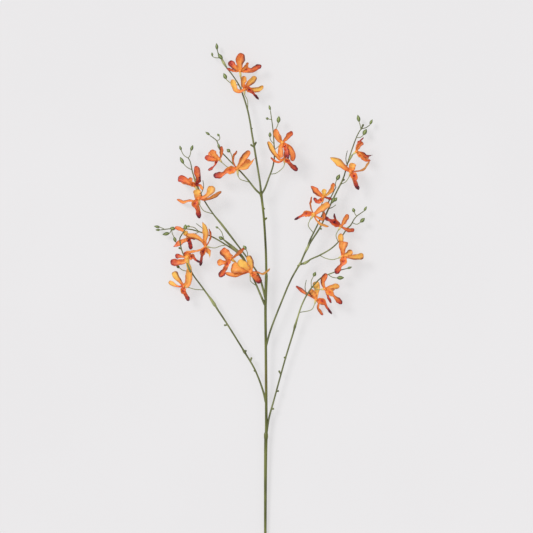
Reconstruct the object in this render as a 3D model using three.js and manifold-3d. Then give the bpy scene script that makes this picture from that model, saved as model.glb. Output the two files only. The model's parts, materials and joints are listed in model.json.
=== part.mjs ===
// A cut oncidium orchid stem, lying down. A straight main stem carries eleven thin sprays, and each
// spray carries two blooms on thin stalks, green buds near its end and a few bare stubs. The stem
// lies along +Y with its cut foot at the lowest Y, +X is to the right as it is seen from above, and
// the surface that it rests on is at height 0. It rests on its foot and on the tips of low tepals.

import * as THREE from 'three';
import { mergeVertices } from 'three/addons/utils/BufferGeometryUtils.js';
import Module from 'manifold-3d';

const wasm = await Module();
wasm.setup();

// Driving sizes, in millimetres. The plant was traced on a photograph of 533 by 533 pixels, so a
// place on it is written as column and row in that frame, with its height in millimetres.
const MM_PER_PIXEL = 1.85; // makes the whole stem 1 m long and a bloom about 60 mm across
const STEM_COLUMN = 265.5; // column that the straight stem stands in
const FOOT_ROW = 583; // row of the cut foot, a plain stretch below the photograph's edge
const FOOT_HEIGHT = 2.5; // height of the main stem's middle line at its foot
const STEM_RISE = 0.067; // how much higher the main stem lies, for each row up
const SEAT_GAP = 0.3; // clearance between pieces that plug into each other
const STALK_RADIUS = 0.8;
const NECK_RADIUS = 0.95; // where a bloom's neck meets its stalk
const THROAT_RADIUS = 1.9; // where the neck meets the bloom's heart
const HEART_RADIUS = 2.4;
const CRISP = 0.5; // how far a tepal's edges wave to each side
const STUB_RADIUS = 0.85;

const STEM_SIDES = 8;
const SPRAY_SIDES = 5;
const STALK_SIDES = 3;
const NECK_SIDES = 4;
const BUD_SIDES = 5;
const BUD_RINGS = 4;
const BUD_TAPER = 0.22; // how much thinner a bud is towards its tip, as a share of its radius
const HEART_SIDES = 5;
const HEART_RINGS = 3;
const CLAW_START = 1.3; // how far from the middle of the heart a tepal begins
const GROUND = 3000; // size of the block below the surface
const UP = new THREE.Vector3(0, 0, 1);

// Outlines of the blades: share of the length, then share of the width
const TEPAL = {
  outline: [[0, 0.24], [0.3, 0.66], [0.62, 1], [0.88, 0.86], [1, 0.42]],
  columns: [-1, 1],
  thickness: 0.9,
  trough: 0,
  end: 1,
};
const LIP = {
  outline: [[0, 0.25], [0.22, 1], [0.38, 0.88], [0.52, 0.42], [0.82, 0.78], [1, 0.32]],
  columns: [-1, 0, 1],
  thickness: 1,
  trough: 0.32, // depth of the middle line below the edges, as a share of half the width
};
const LIP_WAIST = 0.5; // share of a lip's length where its end lobe begins

const LEAF_GREEN = new THREE.MeshStandardMaterial({ color: 0x7d8a45, roughness: 0.6, metalness: 0 });
const STEM_GREEN = new THREE.MeshStandardMaterial({ color: 0x6f7a3c, roughness: 0.6, metalness: 0 });
const PETAL_ORANGE = new THREE.MeshStandardMaterial({ color: 0xe8742f, roughness: 0.7, metalness: 0 });

const stemHeight = (row) => FOOT_HEIGHT + (FOOT_ROW - row) * STEM_RISE;

// Main stem stations: column, row, height, radius
const MAIN_STEM = [
  [265.3, 583, stemHeight(583), 2.6],
  [265.3, 533, stemHeight(533), 2.7],
  [265.6, 460, stemHeight(460), 3.3],
  [265.9, 440, stemHeight(440), 3.4],
  [266, 437.5, stemHeight(437.5), 3.9],
  [266, 434.5, stemHeight(434.5), 3.8],
  [266.2, 432, stemHeight(432), 2.6],
  [266.2, 402, stemHeight(402), 2.5],
  [265.8, 345, stemHeight(345), 2.5],
  [265.5, 306, stemHeight(306), 2.7],
  [266.3, 276, stemHeight(276), 2.8],
  [266.3, 273.5, stemHeight(273.5), 2.2],
  [265.8, 250, stemHeight(250), 2.1],
  [263.6, 215, stemHeight(215), 2.1],
  [261.6, 197.5, stemHeight(197.5), 2.3],
  [261.1, 194.5, stemHeight(194.5), 3.1],
  [261, 192, stemHeight(192), 2.9],
];
const MAIN_STEM_STUBS = [
  { root: [264.3, 220.5, 27], tip: [266.9, 217.6, 27.4] },
  { root: [263.2, 209.4, 27.6], tip: [264.8, 208.2, 27.8] },
];

// Sprays, from the crown down the left side and then down the right side. A route's stations are
// column, row, height and radius. A bud lies from base to tip and hangs on a stalk from its root.
const SPRAYS = {
  spray_a: {
    carriers: ['main_stem'],
    route: [
      [261, 193, 28.6, 2.2], [260.2, 184, 28.3, 1.8], [257.2, 165, 27, 1.8], [254.7, 150, 25.3, 1.9],
      [252, 134, 23.4, 1.7], [249.7, 120, 21.4, 1.6], [247.6, 110, 19.6, 1.6], [243, 95, 17.6, 1.4],
      [239, 85, 16.4, 1.3], [232.5, 75, 15.6, 1.1], [226, 66.5, 15, 1.2], [223.6, 62.5, 14.6, 2.2],
      [221.5, 58.5, 14.2, 1.4], [218, 52.5, 13.4, 0.9], [217.2, 49.5, 13, 0.9],
    ],
    buds: [
      { tip: [216.4, 42.6, 12], base: [217.1, 49.8, 13], width: 5.6, stalk: [] },
      {
        tip: [211.8, 51.9, 12], base: [212.4, 56, 13], width: 4.2,
        stalk: [[215, 57.3, 13.4], [221, 57.6, 14]],
      },
      { tip: [217.6, 53.3, 14.5], base: [222.6, 59, 15], width: 7.5, stalk: [] },
      {
        tip: [223.5, 72.7, 13.6], base: [226.4, 79.2, 14.4], width: 7.2,
        stalk: [[231, 83, 15.2], [238.6, 85, 16.3]],
      },
    ],
    stubs: [
      { root: [254.4, 147.6, 25.1], tip: [250.4, 144.4, 25.6] },
      { root: [254.2, 146.6, 25], tip: [256.2, 141.8, 25.6] },
      { root: [251.2, 129, 22.7], tip: [252.3, 128, 22.9] },
    ],
  },
  spray_b: {
    carriers: ['main_stem', 'spray_a'],
    route: [
      [261.2, 194.6, 28.5, 2], [256, 190, 28.8, 1.8], [248, 180, 29.3, 1.5], [240, 171, 29.8, 1.4],
      [228, 159, 29, 1.2], [219.5, 149, 27.4, 1.1], [216.8, 141, 25.4, 1], [210, 135.5, 23.4, 0.8],
    ],
    buds: [
      { tip: [205.3, 131.7, 22.4], base: [210, 135.2, 23.4], width: 4.6, stalk: [] },
      {
        tip: [217.1, 133.7, 24], base: [219.5, 136.3, 24.6], width: 4.5,
        stalk: [[219.6, 139, 25], [216.8, 141, 25.3]],
      },
      {
        tip: [226.7, 149, 28], base: [230.2, 152.2, 28.6], width: 7,
        stalk: [[231.8, 156, 29], [232.6, 163.4, 29.3]],
      },
      { tip: [218, 143, 26.4], base: [219.4, 149, 27.4], width: 4.8, stalk: [] },
    ],
    stubs: [],
  },
  spray_c: {
    carriers: ['main_stem', 'spray_a'],
    route: [
      [261, 194.6, 28.5, 2], [264.4, 189.5, 28.5, 1.8], [268.6, 178.5, 28, 1.5], [273, 166, 27, 1.4],
      [274.5, 154, 26, 1.3], [274, 144, 25, 1.2], [273, 130, 23, 1], [270.4, 110.5, 20, 0.8],
    ],
    buds: [
      { tip: [269, 104.7, 19.2], base: [270.4, 110.4, 20], width: 4.4, stalk: [] },
      { tip: [265.6, 117.9, 20], base: [268.7, 119, 20.6], width: 4.8, stalk: [[271.6, 119.4, 21.2]] },
      {
        tip: [279, 115.7, 21], base: [278.2, 123.2, 21.6], width: 7.4,
        stalk: [[276.6, 127.5, 22.4], [273.3, 133, 23.3]],
      },
      {
        tip: [270, 131.8, 22], base: [270, 137.6, 22.8], width: 5.8,
        stalk: [[270.6, 140, 23.6], [273.9, 144, 24.9]],
      },
    ],
    stubs: [],
  },
  spray_d: {
    carriers: ['main_stem'],
    route: [
      [265.4, 298.5, 22, 2.1], [262.8, 288, 22.8, 2], [258.6, 275, 23.8, 1.5], [248, 259, 25, 1.5],
      [237.5, 245, 25.7, 1.5], [226, 230, 26, 2.1], [221, 223.5, 26, 2.1], [214, 215, 26, 1.3],
      [204, 200, 26, 1.3], [198, 187.5, 25.6, 1.3], [192.5, 172, 24.2, 1.1], [190.3, 162, 22.8, 0.9],
      [188.3, 158, 22, 0.9],
    ],
    buds: [
      {
        tip: [192.9, 144.8, 20], base: [190.8, 151, 21], width: 5.8,
        stalk: [[190, 155, 21.6], [188.2, 158.2, 22]],
      },
      {
        tip: [179.6, 145.4, 20], base: [181.3, 150.5, 20.6], width: 4.6,
        stalk: [[184, 155.4, 21.2], [188.4, 158.2, 22]],
      },
      {
        tip: [179.9, 156.8, 21], base: [183.8, 164, 22], width: 6.4,
        stalk: [[187, 167.2, 23], [191.6, 169.6, 23.9]],
      },
      {
        tip: [243.2, 245.4, 27.4], base: [246.2, 249.8, 27.2], width: 7,
        stalk: [[247.6, 253.5, 26.4], [247.2, 258, 25]],
      },
    ],
    stubs: [
      { root: [201, 194, 25.8], bend: [203.6, 187, 26.4], tip: [202.9, 180.3, 27] },
    ],
  },
  spray_e: {
    carriers: ['main_stem'],
    route: [
      [264.9, 305, 21.2, 2.2], [260.6, 295, 21.6, 2], [255, 282, 21, 1.6], [246, 263, 19.8, 1.7],
      [237.3, 252.6, 18.9, 1.6], [227.5, 245.8, 18.2, 1.4], [211.8, 236.6, 17, 1.3], [197, 231, 16, 1.2],
      [188, 229, 15.6, 1.1], [171, 228.7, 14.6, 1], [160.4, 229.8, 13.6, 0.8],
    ],
    buds: [
      { tip: [153.7, 226.1, 13.4], base: [160, 227.2, 13.6], width: 5.2, stalk: [[164.8, 229.3, 14]] },
      { tip: [155.2, 229.9, 13.2], base: [160.3, 229.8, 13.6], width: 4.6, stalk: [] },
      { tip: [162.1, 234.6, 12.6], base: [169.6, 233, 13.4], width: 6.6, stalk: [[171.4, 229, 14.6]] },
      {
        tip: [175.8, 242.7, 11.6], base: [173.8, 236.8, 12.6], width: 6.2,
        stalk: [[172.2, 233.6, 13.6], [171.4, 229, 14.6]],
      },
      { tip: [169.8, 227.7, 15.6], base: [175.2, 229.2, 15.6], width: 7.4, stalk: [] },
      {
        tip: [186.7, 225.8, 19.6], base: [190, 226.7, 18.6], width: 4.6,
        stalk: [[193.6, 227.3, 17.8], [196.6, 229.4, 17], [198.8, 231.7, 16.1]],
      },
    ],
    stubs: [
      { root: [208.2, 234.6, 16.8], bend: [203.6, 229.4, 18.4], tip: [196.2, 223.4, 19.4] },
    ],
  },
  spray_f: {
    carriers: ['main_stem'],
    route: [
      [265.7, 402.5, 14.6, 2], [263, 391, 15, 1.8], [255, 370, 15.4, 1.6], [246, 354.5, 15.8, 1.7],
      [244.3, 351.8, 15.8, 2.7], [242.6, 349, 15.8, 1.6], [228, 325.5, 16, 1.6], [217.2, 309, 16.3, 1.8],
      [215, 305.4, 16.4, 2.6], [211.6, 300.2, 16.6, 2.4], [208.5, 296, 16.7, 1.7], [200.5, 285, 17, 1.4],
      [193.2, 275, 17.4, 1.3], [187, 262, 19.4, 1.2], [182, 251, 24, 1.1], [180.3, 243, 30.5, 1.1],
      [180, 238.4, 35, 1.1], [183, 233, 38.6, 1.1], [185.6, 229, 40.4, 1],
    ],
    buds: [
      { tip: [185.6, 224.4, 41.8], base: [185.6, 229.6, 40.4], width: 7.6, stalk: [] },
      {
        tip: [176.2, 265.4, 14.8], base: [179.5, 268, 15.6], width: 5.8,
        stalk: [[183, 270.3, 16.4], [191.6, 271.6, 17.8]],
      },
    ],
    stubs: [
      { root: [181.5, 249.2, 25.2], tip: [178.6, 247.6, 25] },
      { root: [227.4, 325, 16], tip: [223.9, 325.4, 16.2] },
      { root: [250.6, 361, 15.6], tip: [251.6, 357.4, 15.8] },
      { root: [255.4, 369.6, 15.4], tip: [254, 371.6, 15.4] },
      { root: [244.6, 352, 15.8], tip: [246.5, 350.4, 16.2] },
    ],
  },
  spray_g: {
    carriers: ['spray_e'],
    route: [
      [246.6, 263.6, 20, 1.5], [242.7, 256.4, 24.4, 1.5], [239.4, 253, 26.4, 1.6], [237.4, 251.2, 27.4, 2.4],
      [233.4, 247.9, 28.6, 2.3], [229.7, 244.6, 29, 1.5], [222.6, 238.8, 30, 1.2],
    ],
    buds: [
      { tip: [218.6, 236.7, 30.6], base: [223.2, 239.4, 29.8], width: 6.8, stalk: [] },
      {
        tip: [215.4, 226.6, 31.2], base: [218.5, 228.2, 31], width: 4,
        stalk: [[221.6, 232, 30.6], [223, 236, 30.3], [224.2, 240, 29.9]],
      },
    ],
    stubs: [],
  },
  spray_h: {
    carriers: ['main_stem'],
    route: [
      [266.1, 346, 18.4, 2], [270.3, 331, 19.6, 1.7], [282.3, 300, 22.2, 1.6], [290.8, 280, 24.2, 1.6],
      [298, 267, 25.8, 1.7], [299.6, 264.4, 26.2, 2.3], [301.2, 261.4, 26.5, 1.6], [304.6, 253.6, 27.4, 1.7],
      [307.2, 248.4, 28, 2.5], [309.8, 243.4, 28.4, 1.7], [320.6, 226.4, 29, 1.5], [328.4, 209, 28.8, 1.5],
      [337.5, 190, 27.4, 1.4], [341.8, 181.6, 26.2, 1.6], [344, 176.2, 25.6, 1.3], [347.4, 164, 23.8, 1.2],
      [353.2, 146, 20.2, 1.1], [358, 134, 18, 1], [361.4, 129, 17, 0.9], [366, 127.5, 15.8, 0.8],
      [370, 124.8, 14.8, 0.8],
    ],
    buds: [
      {
        tip: [357.8, 114.4, 14], base: [359.4, 122, 15.4], width: 6.8,
        stalk: [[360.4, 125.5, 16.2], [361, 129.3, 17]],
      },
      { tip: [372.6, 119, 14], base: [369.9, 124.6, 14.8], width: 5.2, stalk: [] },
      {
        tip: [366.8, 128.8, 16.6], base: [363.2, 135, 17.4], width: 8,
        stalk: [[361, 137, 18], [357.2, 137.6, 18.8]],
      },
      { tip: [331.4, 203.9, 29.6], base: [334.4, 197, 28.6], width: 7.2, stalk: [] },
      { tip: [337.2, 197.4, 28.8], base: [333.6, 201.6, 28.4], width: 6.4, stalk: [] },
    ],
    stubs: [
      { root: [361.2, 129, 16.8], tip: [363.6, 124, 16.6] },
      { root: [347.2, 165.4, 24], bend: [345.9, 159, 25.2], tip: [347.3, 150.6, 26.6] },
      { root: [329.2, 208.6, 28.8], bend: [332.6, 207.2, 29], tip: [335.9, 204.8, 28.8] },
      { root: [319.6, 228.6, 29], tip: [321.9, 229, 29.2] },
      { root: [342.2, 181, 26.2], tip: [344.6, 179.2, 26.6] },
    ],
  },
  spray_i: {
    carriers: ['spray_h'],
    route: [
      [307.2, 248.8, 27.8, 1.6], [309.6, 241, 26.6, 1.5], [315, 230, 25, 1.4], [321, 217.5, 23.6, 1.3],
      [328, 203, 23, 1.2], [333, 193, 23, 1.1], [336, 187, 23, 0.9],
    ],
    buds: [
      {
        tip: [339.9, 174.2, 23.6], base: [336.5, 180.4, 23.3], width: 7.4,
        stalk: [[335.4, 184, 23.2], [336, 187.6, 23]],
      },
    ],
    stubs: [],
  },
  spray_j: {
    carriers: ['spray_h'],
    route: [
      [299.8, 264.6, 26.1, 1.8], [306.8, 262, 25, 1.9], [310.5, 259.4, 24.4, 1.4], [319.4, 255.4, 23.2, 1.4],
      [331.6, 248.2, 21.8, 1.3], [339.4, 240.6, 21, 1.2], [344.4, 232.6, 20.4, 1.1], [347.6, 228, 20, 1.7],
      [350.4, 225.6, 19.6, 1.2], [354.5, 218.8, 19, 1], [357, 216, 18.6, 0.9], [364, 211, 17.2, 0.8],
    ],
    buds: [
      { tip: [366.9, 206.2, 16.6], base: [364, 211.2, 17.2], width: 4.8, stalk: [] },
      {
        tip: [353, 207.8, 18.6], base: [354.4, 212.4, 18.7], width: 6.2,
        stalk: [[355.4, 214.4, 18.7], [357, 216.4, 18.6]],
      },
      {
        tip: [365, 217.9, 18], base: [360.2, 222.4, 18.4], width: 7.2,
        stalk: [[357, 224.2, 18.9], [352.4, 222.8, 19.3]],
      },
    ],
    stubs: [],
  },
  spray_k: {
    carriers: ['main_stem'],
    route: [
      [266.5, 434.5, 12.8, 2], [268.8, 419, 13.6, 1.8], [274, 400, 14.4, 1.5], [285, 360, 16, 1.5],
      [293.8, 331, 17.6, 1.6], [294.9, 326.4, 18, 2.3], [296.4, 322.4, 18.4, 1.6], [301.6, 305.6, 21.2, 1.4],
      [307, 294.6, 23.2, 1.4], [313.7, 285.2, 25.4, 1.3], [321.4, 277.6, 27, 1.2], [328.4, 274.4, 27.8, 1.2],
      [341, 270, 28.2, 0.9], [347, 268.5, 28.2, 0.8],
    ],
    buds: [
      { tip: [352.2, 266.8, 28.2], base: [346.8, 268.6, 28.2], width: 4.4, stalk: [] },
      {
        tip: [344.3, 277.7, 26], base: [336.6, 277.9, 26.6], width: 7.4,
        stalk: [[332.4, 277.2, 27.2], [328, 274.5, 27.8]],
      },
      {
        tip: [315.8, 271.8, 24.4], base: [313.4, 276.6, 24.4], width: 6.8,
        stalk: [[311.3, 281, 24.4], [311.4, 288.4, 24.8]],
      },
    ],
    stubs: [
      { root: [306.4, 295.6, 23], bend: [305.1, 287, 24], tip: [306.3, 280, 24.6] },
      { root: [271.4, 409.4, 14], tip: [274.2, 408.8, 14.2] },
      { root: [276.6, 391.6, 14.8], tip: [279, 391, 15] },
      { root: [281, 375, 15.4], tip: [278.8, 370.6, 15.8] },
      { root: [286, 359, 16], tip: [284, 357, 16.2] },
    ],
  },
};

// Blooms. The heart is where the tepals meet, the joint is where the neck plugs onto the stalk, and
// the stalk's stations run from there to its root in the spray. A blade leaves the heart through the
// places of its path; a roll of 0 turns its face up, and 90 shows only its edge from above. A lip's
// end is the width of its end lobe, as a share of the usual one.
const BLOOMS = {
  bloom_a1: {
    heart: [240, 71, 24], joint: [240.9, 78.6, 20.6], stalk: [[241.3, 84, 18.4], [241.4, 91, 17.2]],
    tepals: [
      { path: [[239.5, 64, 27], [240.5, 57.5, 29], [242, 53.6, 29]], width: 15, roll: 10 },
      { path: [[235, 67.5, 26], [231, 63.8, 25], [229.3, 61.6, 23]], width: 11, roll: 20 },
      { path: [[236, 71.6, 24], [231, 70.2, 23], [226.6, 68.6, 22]], width: 8, roll: 50 },
      { path: [[243, 69.5, 27], [246, 66, 29], [248, 62.6, 29]], width: 8, roll: 40 },
      { path: [[246, 71.3, 17], [252, 70, 7], [257.5, 68.3, -0.3]], width: 8, roll: 0 },
    ],
    lip: {
      path: [[245.5, 69.8, 26], [250, 69.6, 27], [255, 68, 26], [261.4, 65.4, 24]],
      width: 11, roll: 0, end: 1.1,
    },
  },
  bloom_a2: {
    heart: [244.3, 89.6, 28], joint: [244.6, 94.6, 24.2], stalk: [[247.4, 100.6, 21.4], [247.8, 110.6, 19.6]],
    tepals: [
      { path: [[240, 91.6, 28], [236.2, 90.4, 28], [234, 86, 27], [232.2, 79.4, 25]], width: 11, roll: 15 },
      { path: [[243.4, 84, 30], [245.2, 76.4, 30]], width: 9, roll: 45 },
      { path: [[249, 83.6, 31], [255.6, 77.4, 31]], width: 12, roll: 20 },
      { path: [[250, 89, 27], [256, 89.4, 25], [260, 88.4, 24], [263.2, 85.8, 24]], width: 9, roll: 20 },
      { path: [[250, 89.6, 18], [255.5, 90, 7], [260, 90, -0.3]], width: 8, roll: 0 },
    ],
    lip: {
      path: [[247.8, 88.6, 29], [250.6, 91, 28], [254.6, 94.8, 23], [258.8, 99.2, 18]],
      width: 9, roll: 25, end: 0.6,
    },
  },
  bloom_b1: {
    heart: [219.2, 159.4, 35], joint: [222.2, 162.8, 32.4], stalk: [[228, 167.4, 31.2], [240, 171.2, 29.8]],
    tepals: [
      { path: [[213, 158.6, 35], [206.4, 156.6, 32]], width: 9.5, roll: 15 },
      { path: [[215, 155.6, 38], [210.8, 150.4, 38]], width: 12, roll: 10 },
      { path: [[221, 156, 38], [221.2, 151, 39], [221.6, 146.4, 38]], width: 9, roll: 40 },
      { path: [[215, 157, 30], [211, 154.2, 24], [208.4, 152.6, 20]], width: 9, roll: 0 },
      { path: [[214, 159.8, 28], [209.6, 159, 20], [206.4, 158, 14]], width: 9, roll: 0 },
    ],
    lip: {
      path: [[217, 161.6, 35], [215, 165, 33], [212, 168, 30], [208, 170, 27]],
      width: 8, roll: 40, end: 1,
    },
  },
  bloom_b2: {
    heart: [237.2, 168.8, 40], joint: [238.1, 176.2, 35.6],
    stalk: [[240.4, 179.4, 33.8], [245, 181, 31.6], [250.6, 182.6, 29.2]],
    tepals: [
      { path: [[235, 166.4, 41], [233, 161.6, 42], [233.2, 156.6, 42], [237, 151, 40]], width: 8, roll: 60 },
      { path: [[241.4, 162, 43], [246, 155.4, 44], [249.4, 151, 43]], width: 12, roll: 10 },
      { path: [[244, 167.2, 41], [249, 164.2, 39], [255, 158.4, 37]], width: 10, roll: 20 },
      { path: [[242, 165.6, 34], [246.6, 162.4, 27], [250, 160, 22]], width: 9, roll: 0 },
      { path: [[239.8, 163.6, 34], [243, 157.6, 30], [245, 154, 27]], width: 9, roll: 0 },
    ],
    lip: {
      path: [[232.4, 169.8, 40], [228, 170.8, 40], [221, 174.8, 36], [213.4, 175.8, 31]],
      width: 15, roll: 0, end: 1,
    },
  },
  bloom_c1: {
    heart: [284, 159, 36], joint: [284.6, 163.8, 32.6],
    stalk: [[283, 167.6, 30.4], [276, 173.2, 28.6], [270.6, 174.2, 27.7]],
    tepals: [
      { path: [[280.6, 160, 37], [276.4, 156, 38], [272, 149.6, 38], [268.2, 142, 36]], width: 10, roll: 15 },
      {
        path: [[281, 162, 36], [277, 162.4, 36], [273.4, 160.6, 35], [270.8, 157.6, 34]],
        width: 7, roll: 60,
      },
      { path: [[285.6, 153, 34], [286.8, 147.4, 34]], width: 8, roll: 20 },
      { path: [[288, 162, 32], [292, 166, 25], [294.6, 168.6, 19]], width: 8, roll: 0 },
      { path: [[286.6, 154.4, 29], [289, 149, 23], [290, 145.4, 19]], width: 9, roll: 0 },
    ],
    lip: {
      path: [[286.6, 160.8, 38], [289.6, 162.8, 37], [293.2, 166.6, 34], [297.4, 170.8, 30]],
      width: 9, roll: 0, end: 1.2,
    },
  },
  bloom_c2: {
    heart: [282.4, 142.8, 33], joint: [278.6, 146.4, 29.6], stalk: [[274.3, 150, 25.7]],
    tepals: [
      { path: [[278.6, 140.4, 36], [276.4, 135, 38], [275.6, 129, 37]], width: 11, roll: 10 },
      { path: [[285.4, 139.6, 36], [288.6, 135.6, 37], [292.4, 131.8, 36]], width: 10, roll: 20 },
      {
        path: [[286.4, 145.4, 38], [290.6, 149, 40], [292.6, 155, 40], [292.6, 161.4, 37]],
        width: 11, roll: 10,
      },
      { path: [[280.4, 147.6, 38], [280, 152.6, 41], [281, 158, 43]], width: 9, roll: 10 },
      { path: [[281, 138.4, 27], [279.4, 133.6, 21]], width: 7, roll: 0 },
    ],
    lip: {
      path: [[284.6, 145.6, 38], [286, 150, 42], [287, 154, 43.6], [287.8, 158.6, 44]],
      width: 9, roll: 15, end: 1.1,
    },
  },
  bloom_d1: {
    heart: [194.6, 185.8, 33], joint: [198.2, 190.6, 29.8], stalk: [[202.4, 196.8, 25.9]],
    tepals: [
      { path: [[188, 181.6, 33], [182.6, 179, 31], [178.4, 178.2, 28]], width: 11, roll: 10 },
      { path: [[196.4, 179, 36], [196.2, 172.4, 36], [197, 165.8, 34]], width: 11, roll: 10 },
      { path: [[197.8, 183.4, 36], [199.6, 180.4, 38], [199.4, 176.8, 39]], width: 7, roll: 50 },
      { path: [[198.6, 185.2, 34], [202.4, 185.4, 36]], width: 7, roll: 30 },
      { path: [[188.6, 183.6, 24], [183.6, 181.4, 13], [180.6, 180.2, 5]], width: 9, roll: 0 },
    ],
    lip: {
      path: [[192.6, 184, 37], [191.4, 182, 39], [190.6, 180, 40], [190, 177.6, 40]],
      width: 11, roll: 10, end: 1,
    },
  },
  bloom_d2: {
    heart: [199, 199, 35], joint: [199.8, 205, 31.4], stalk: [[203.6, 210.6, 28.4], [213, 214, 26.1]],
    tepals: [
      { path: [[197.4, 195.4, 38], [196.6, 190, 39.5]], width: 13, roll: 5 },
      {
        path: [
          [203, 197.4, 38], [204.8, 191, 39], [208.6, 187, 39], [213.2, 189.2, 38], [212.6, 194.4, 36.5],
        ],
        width: 8, roll: 10,
      },
      {
        path: [[204, 199.6, 36], [210, 198.4, 36], [216, 195.6, 35], [221.4, 191.4, 33]],
        width: 7.5, roll: 50,
      },
      { path: [[194.6, 200.8, 31], [189, 200.8, 22], [183, 202, 9], [176.6, 199, -0.3]], width: 7, roll: 35 },
      { path: [[197.6, 205, 27], [198.2, 210, 18], [199.2, 215, 11]], width: 8, roll: 0 },
    ],
    lip: {
      path: [[196.4, 201.8, 36], [195, 204.6, 36.5], [197.2, 210, 35], [199.8, 218.4, 31]],
      width: 11, roll: 0, end: 1,
    },
  },
  bloom_e1: {
    heart: [188, 236.4, 24], joint: [192.6, 235, 21.2], stalk: [[199, 231.8, 16.1]],
    tepals: [
      { path: [[185, 232.4, 26], [180.4, 229, 25], [174.8, 227, 22]], width: 9, roll: 15 },
      { path: [[186.4, 234.2, 28], [184.4, 231.8, 30]], width: 8, roll: 10 },
      { path: [[185.4, 240.4, 25], [180.6, 242.2, 22], [174.4, 246.2, 18]], width: 8, roll: 40 },
      { path: [[191.6, 237.6, 23], [196, 238, 20]], width: 7, roll: 10 },
      { path: [[189.4, 240.4, 16], [190.2, 244.6, 9], [190.6, 247.6, 4]], width: 7, roll: 0 },
    ],
    lip: {
      path: [[188.6, 238.6, 26], [189.4, 241, 26], [190.2, 244.6, 24], [190.8, 249.6, 20]],
      width: 8.5, roll: 10, end: 1.2,
    },
  },
  bloom_e2: {
    heart: [205.6, 246.4, 27.4], joint: [210, 247.4, 24.6],
    stalk: [[215, 247.9, 22], [220.4, 246, 19.6], [226.4, 245, 18.1]],
    tepals: [
      { path: [[204.8, 240, 30], [206, 231, 31.4], [203, 222.6, 30]], width: 9, roll: 25 },
      { path: [[202, 241, 31], [196, 236.8, 33], [186, 235, 33.5]], width: 9.5, roll: 10 },
      { path: [[208.4, 242.4, 30], [210.4, 236, 31], [209, 228.6, 29]], width: 7, roll: 60 },
      { path: [[207.6, 250.4, 26], [209, 254, 24], [209.8, 258, 21]], width: 7, roll: 50 },
      { path: [[201, 249.6, 33], [195, 251.6, 38], [185.4, 252.2, 42]], width: 7, roll: 60 },
    ],
    lip: {
      path: [[205.4, 249.4, 28], [204, 253, 26], [201, 261, 13], [201.6, 268, -0.3]],
      width: 15, roll: 0, end: 0.55,
    },
  },
  bloom_f1: {
    heart: [184, 286.2, 25], joint: [188.8, 287.6, 22], stalk: [[195, 289.3, 19.6], [204, 290, 16.9]],
    tepals: [
      { path: [[180.4, 281, 28], [177, 276.8, 29.4], [173.6, 271.6, 28]], width: 12, roll: 0 },
      { path: [[179.4, 286.6, 21], [174, 285, 10], [168, 280.8, -0.3]], width: 8, roll: 15 },
      { path: [[186.4, 282, 28], [188, 277, 29.4], [188.8, 269.8, 28]], width: 12, roll: 5 },
      { path: [[186.4, 282, 20], [187.2, 277, 13], [187.2, 273, 8]], width: 8, roll: 0 },
      { path: [[184.2, 290.6, 17], [185.6, 295, 10], [186.8, 298.6, 5]], width: 7, roll: 0 },
    ],
    lip: {
      path: [[183.4, 288.6, 27], [183.4, 291.4, 28], [186, 295, 26], [188.6, 301, 22]],
      width: 11, roll: 0, end: 1,
    },
  },
  bloom_f2: {
    heart: [187.2, 257.2, 29], joint: [188, 266.8, 24.6], stalk: [[189.8, 271.4, 21.4], [193.4, 276, 17.4]],
    tepals: [
      { path: [[182, 256.4, 30], [175.6, 255.8, 28]], width: 8.5, roll: 25 },
      { path: [[184.4, 261.4, 29], [179, 262.4, 27], [171.6, 262.4, 24]], width: 9.5, roll: 20 },
      { path: [[186.6, 253.8, 32], [184.4, 250.8, 34]], width: 9.5, roll: 15 },
      { path: [[190.4, 257.6, 21], [192.4, 256, 14], [193.4, 254, 8]], width: 7, roll: 0 },
      { path: [[184, 260, 24], [179, 261, 15], [175, 262, 7]], width: 7, roll: 30 },
    ],
    lip: {
      path: [[190, 256.6, 31], [193, 257, 31.4], [196, 260, 30], [200, 262.4, 28]],
      width: 13, roll: 0, end: 0.5,
    },
  },
  bloom_g1: {
    carrier: 'spray_e',
    heart: [231, 259, 36], joint: [236, 262.4, 31.6], stalk: [[241.4, 265.4, 27.4], [250.6, 272.4, 20.4]],
    tepals: [
      { path: [[227.4, 255, 38], [221.6, 247.4, 36]], width: 15, roll: 5 },
      { path: [[234.4, 256.6, 39], [239, 252.6, 39.6], [245, 247.8, 37.6]], width: 7.5, roll: 55 },
      { path: [[226, 261, 36], [218.4, 262.2, 34]], width: 10, roll: 0 },
      { path: [[228.2, 256, 29], [225.4, 253, 22], [224, 251.2, 17]], width: 9, roll: 0 },
      { path: [[228, 263, 28], [225.4, 268, 19], [223, 272.4, 12]], width: 8, roll: 0 },
    ],
    lip: {
      path: [[228.6, 261.8, 39], [226.6, 265.6, 38.6], [223.4, 271.4, 35], [219.2, 277.2, 31]],
      width: 11, roll: 0, end: 1.1,
    },
  },
  bloom_g2: {
    carrier: 'spray_e',
    heart: [251, 271.6, 38], joint: [250.1, 277, 34], stalk: [[250.6, 281, 30], [256.6, 286, 21.3]],
    tepals: [
      { path: [[245, 269.6, 40], [239, 267.8, 40.6], [232.4, 267.2, 38]], width: 14, roll: 5 },
      { path: [[246.6, 266.6, 43], [242.6, 262, 44.4], [239.8, 258.4, 43.6]], width: 12, roll: 5 },
      { path: [[250.6, 265.8, 42], [248.8, 260.6, 43.6], [246.8, 255.8, 43]], width: 11, roll: 10 },
      { path: [[245, 273.8, 38], [236, 276.4, 36.6], [225.6, 274.2, 34]], width: 7.5, roll: 50 },
      { path: [[257, 271.8, 39], [263, 273.6, 37.6], [270, 268.6, 34]], width: 7, roll: 50 },
    ],
    lip: {
      path: [[252.4, 273.6, 40], [254.6, 276, 40], [257.6, 279.6, 38], [261, 283.6, 35]],
      width: 12, roll: 0, end: 1.2,
    },
  },
  bloom_h1: {
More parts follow.
